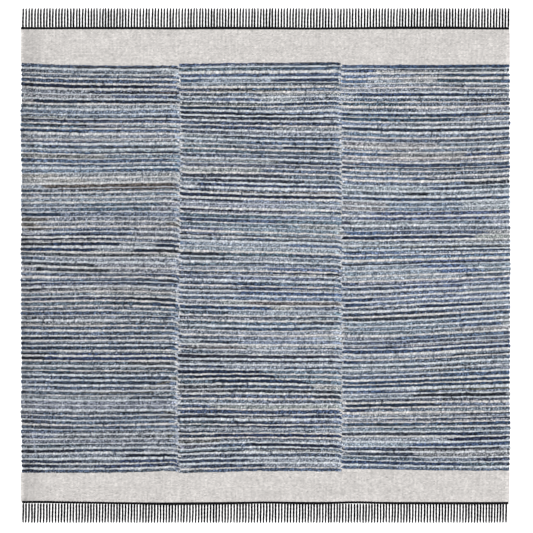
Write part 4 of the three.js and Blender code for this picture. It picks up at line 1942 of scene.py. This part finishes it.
@dataclass(frozen=True)
class TwinedEdging:
    """The charcoal twining along one end, two plies turned round each other."""

    end: End
    overlap: float
    seed: int
    left_reach: float = 0.0
    inset: float = 0.5
    wander: float = 1.6
    wander_cells: Cells = Cells(170, 1, 20, 5.5)
    width: float = 11.3
    height: float = 5.6
    ply_pitch: float = 11.05
    ply_depth: float = 0.09
    taper_reach: float = 0.0025
    taper_least: float = 0.35
    wear: float = 0.03
    rings: int = 640
    sides: int = 10

    def build(self, material: Material) -> Piece:
        """Builds and dresses the edging.

        Args:
            material: the charcoal cord finish.

        Returns:
            The edging's piece.
        """
        bunch = CordBunch(f"edging_{self.end.word}", 1, self.sides, self.rings)
        mesh, points = bunch.blank()
        level = CLOTH_END * self.end.value
        left = LEFT_EDGE.at(level) + self.inset - self.left_reach
        right = RIGHT_EDGE.at(level) - self.inset
        x = left + (right - left) * points.along
        middle = self.end.line(x) + self.end.value * (self.width / 2 - self.overlap)
        middle += self.wander * SoftNoise(self.seed).over(x, np.zeros(len(x)), self.wander_cells)
        turn = points.around * math.tau
        lobes = 1 - self.ply_depth + self.ply_depth * np.cos(2 * turn - math.tau * x / self.ply_pitch)
        radius = lobes * end_taper(points.along, self.taper_reach, self.taper_least)
        y = middle + radius * (self.width / 2) * np.cos(turn)
        z = self.height / 2 + radius * (self.height / 2) * np.sin(turn)
        write_points(mesh, x, y, z)
        write_cord_maps(mesh, points, bunch, x * MM, cuts=9, columns=1)
        write_relief(mesh, np.full(len(x), self.wear))
        return new_piece(mesh, material, f"fringe_{self.end.word}")


@dataclass(frozen=True)
class CordFringe:
    """The fringe of one end: twisted warp cords, knotted at the edging, side by side on the floor."""

    end: End
    seed: int
    first_x: float
    last_x: float
    strands: int = 166
    tip_line: float = 965.5
    root_reach: float = 6.5
    half_width: float = 3.6
    half_height: float = 1.6
    ply_pitch: float = 15.0
    ply_depth: float = 0.08
    knot_place: float = 0.09
    knot_length: float = 0.06
    knot_swell: float = 0.03
    tip_from: float = 0.7
    tip_thinning: float = 0.2
    taper_reach: float = 0.02
    taper_least: float = 0.5
    tip_spread: float = 1.2
    size: Range = (0.92, 1.06)
    lean: float = 1.1
    lean_spread: float = 0.6
    sway: float = 0.4
    sway_waves: Range = (4, 9)
    root_sway: float = 5.4
    root_cells: Cells = Cells(19, 1, 0, 3.5)
    root_jitter: float = 0.45
    yarn_step: float = 90.0
    wear: float = 0.04
    tip_wear: Range = (0.1, 0.5)
    wear_curve: float = 1.6
    rings: int = 22
    sides: int = 8

    def build(self, material: Material) -> Piece:
        """Builds and dresses the fringe.

        Args:
            material: the charcoal cord finish.

        Returns:
            The fringe's piece.
        """
        bunch = CordBunch(f"cords_{self.end.word}", self.strands, self.sides, self.rings)
        mesh, points = bunch.blank()
        rng = np.random.default_rng(self.seed)
        side = self.end.value
        along, turn = points.along, points.around * math.tau
        middle = self._middles(rng)[points.cord]
        root = self.end.line(middle) + side * self.root_reach
        tip = side * (self.tip_line - rng.uniform(0, self.tip_spread, self.strands)[points.cord])
        spread = rng.uniform(-self.lean_spread, self.lean_spread, self.strands)
        lean = side * self.lean + spread[points.cord]
        phase = rng.uniform(0, math.tau, self.strands)[points.cord]
        waves = rng.uniform(*self.sway_waves, self.strands)[points.cord]
        sway = self.sway * np.sin(along * waves + phase)
        size = rng.uniform(*self.size, self.strands)[points.cord]
        length = np.abs(tip - root)
        lobes = 1 + self.ply_depth * np.cos(2 * turn - math.tau * along * length / self.ply_pitch + phase)
        knot = 1 + self.knot_swell * np.exp(-(((along - self.knot_place) / self.knot_length) ** 2))
        thin = 1 - self.tip_thinning * np.clip((along - self.tip_from) / (1 - self.tip_from), 0, 1)
        radius = size * lobes * knot * thin * end_taper(along, self.taper_reach, self.taper_least)
        x = middle + lean * along**2 + sway * np.sqrt(along) + radius * self.half_width * np.cos(turn)
        centre = self.half_height * (1 + self.ply_depth) * knot * size
        z = np.maximum(centre + radius * self.half_height * np.sin(turn), 0.0)
        y = root + (tip - root) * along
        write_points(mesh, x, y, z)
        metres = (along * length + points.cord * self.yarn_step) * MM
        write_cord_maps(mesh, points, bunch, metres, cuts=1, columns=6)
        worn = rng.uniform(*self.tip_wear, self.strands)[points.cord]
        write_relief(mesh, self.wear + worn * along**self.wear_curve)
        return new_piece(mesh, material, f"fringe_{self.end.word}")

    def _middles(self, rng: Chance) -> Array:
        """Where the strands' roots lie across the rug, a little unevenly.

        Args:
            rng: the fringe's random numbers.

        Returns:
            The x of each strand's root.
        """
        middles = np.linspace(self.first_x, self.last_x, self.strands)
        places = np.arange(self.strands), np.zeros(self.strands)
        middles += self.root_sway * SoftNoise(self.seed).over(*places, self.root_cells)
        return middles + rng.uniform(-self.root_jitter, self.root_jitter, self.strands)


# The studio: floor, light and camera.


@dataclass(frozen=True)
class Studio:
    """A pale floor, soft light from above, and a camera that looks straight down from far away."""

    frame_width: float = 2003.0
    centre_x: float = 4.7
    centre_y: float = -2.1
    lens: float = 200.0
    sensor: float = 36.0
    clip_end: float = 200.0
    floor_size: float = 30.0
    floor_gap: float = 0.4
    sky_strength: float = 0.8
    sun_strength: float = 1.4
    sun_spread: float = 35.0
    sun_elevation: float = 48.0
    sun_azimuth: float = 160.0

    def build(self) -> None:
        """Builds all of the studio."""
        self._floor()
        self._light()
        self._camera()

    def _floor(self) -> None:
        """Lays the floor just under the rug."""
        shell = bmesh.new()
        bmesh.ops.create_grid(shell, x_segments=1, y_segments=1, size=self.floor_size / 2)
        bmesh.ops.translate(shell, vec=(0.0, 0.0, -self.floor_gap * MM), verts=shell.verts[:])
        mesh = finished_mesh(shell, "studio_floor")
        mesh.materials.append(StudioFloorFinish().material())
        floor = bpy.data.objects.new("studio_floor", mesh)
        bpy.context.scene.collection.objects.link(floor)

    def _light(self) -> None:
        """Sets an even white sky and a broad soft lamp to the left."""
        world = bpy.data.worlds.new("studio sky")
        world.use_nodes = True
        background = world.node_tree.nodes["Background"]
        background.inputs["Color"].default_value = (1.0, 1.0, 1.0, 1.0)
        background.inputs["Strength"].default_value = self.sky_strength
        bpy.context.scene.world = world
        lamp = bpy.data.lights.new("soft lamp", "SUN")
        lamp.energy = self.sun_strength
        lamp.angle = math.radians(self.sun_spread)
        holder = bpy.data.objects.new("soft lamp", lamp)
        holder.rotation_euler = (0.0, math.radians(90 - self.sun_elevation), math.radians(self.sun_azimuth))
        bpy.context.scene.collection.objects.link(holder)

    def _camera(self) -> None:
        """Hangs the camera over the rug's middle."""
        data = bpy.data.cameras.new("camera")
        data.lens = self.lens
        data.sensor_width = self.sensor
        camera = bpy.data.objects.new("camera", data)
        height = self.frame_width * self.lens / self.sensor
        camera.location = (self.centre_x * MM, self.centre_y * MM, height * MM)
        data.clip_end = self.clip_end
        bpy.context.scene.collection.objects.link(camera)
        bpy.context.scene.camera = camera
        bpy.context.scene.view_settings.view_transform = "Standard"


def main() -> None:
    """Builds the rug and the studio, and logs how many triangles each piece has."""
    logging.basicConfig(level=logging.INFO, format="%(name)s: %(message)s")
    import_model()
    shelf = EffectShelf()
    rag = RagWeaveFinish().material(shelf)
    seam = SeamCottonFinish().material(shelf)
    cream = CreamWeaveFinish().material(shelf)
    charcoal = CharcoalCordFinish().material(shelf)
    columns = (
        WovenColumn(COLUMNS[0], YarnLayer(seed=31, rag_bead=0.14, turn_share=0.3, seam_fade=0.52),
                    rag_tone=0.91, rag_spread=1.1, cotton_tone=0.875, ragged=1.5),
        WovenColumn(COLUMNS[1], YarnLayer(seed=32, rag_bead=0.17, turn_share=0.2),
                    rag_tone=1.055, rag_spread=1.05, cotton_tone=0.93, ragged=1.6),
        WovenColumn(COLUMNS[2], YarnLayer(seed=33, rag_bead=0.09),
                    rag_tone=1.225, rag_spread=0.93, cotton_tone=0.935, ragged=1.3),
    )
    pieces = [column.build(rag) for column in columns]
    pieces.append(SeamStitches(COLUMNS[0], COLUMNS[1], seed=71, radius=2.7).build(seam))
    pieces.append(SeamStitches(COLUMNS[1], COLUMNS[2], seed=72, radius=2.5).build(seam))
    fringes = {
        End.FAR: CordFringe(End.FAR, seed=91, first_x=-911.0, last_x=914.5, tip_line=969.5),
        End.NEAR: CordFringe(End.NEAR, seed=92, first_x=-906.0, last_x=906.0, tip_line=966.2),
    }
    edgings = {
        End.FAR: TwinedEdging(End.FAR, overlap=1.9, seed=3429, left_reach=3.0, wander=1.9),
        End.NEAR: TwinedEdging(End.NEAR, overlap=2.75, seed=550, wander=3.8),
    }
    for end in End:
        trim = [edgings[end].build(charcoal), fringes[end].build(charcoal)]
        band = CreamBand(end, seed=80 + end.value, left_spread=1.8 if end is End.FAR else 2.8)
        cloth = band.build(cream)
        band.flat_size()
        pieces += [cloth, *trim]
    for piece in pieces:
        triangles = sum(len(face.vertices) - 2 for face in piece.data.polygons)
        LOG.info("%s: %d triangles", piece.name, triangles)
    Studio().build()
    bpy.context.view_layer.update()


if __name__ == "__main__":
    main()
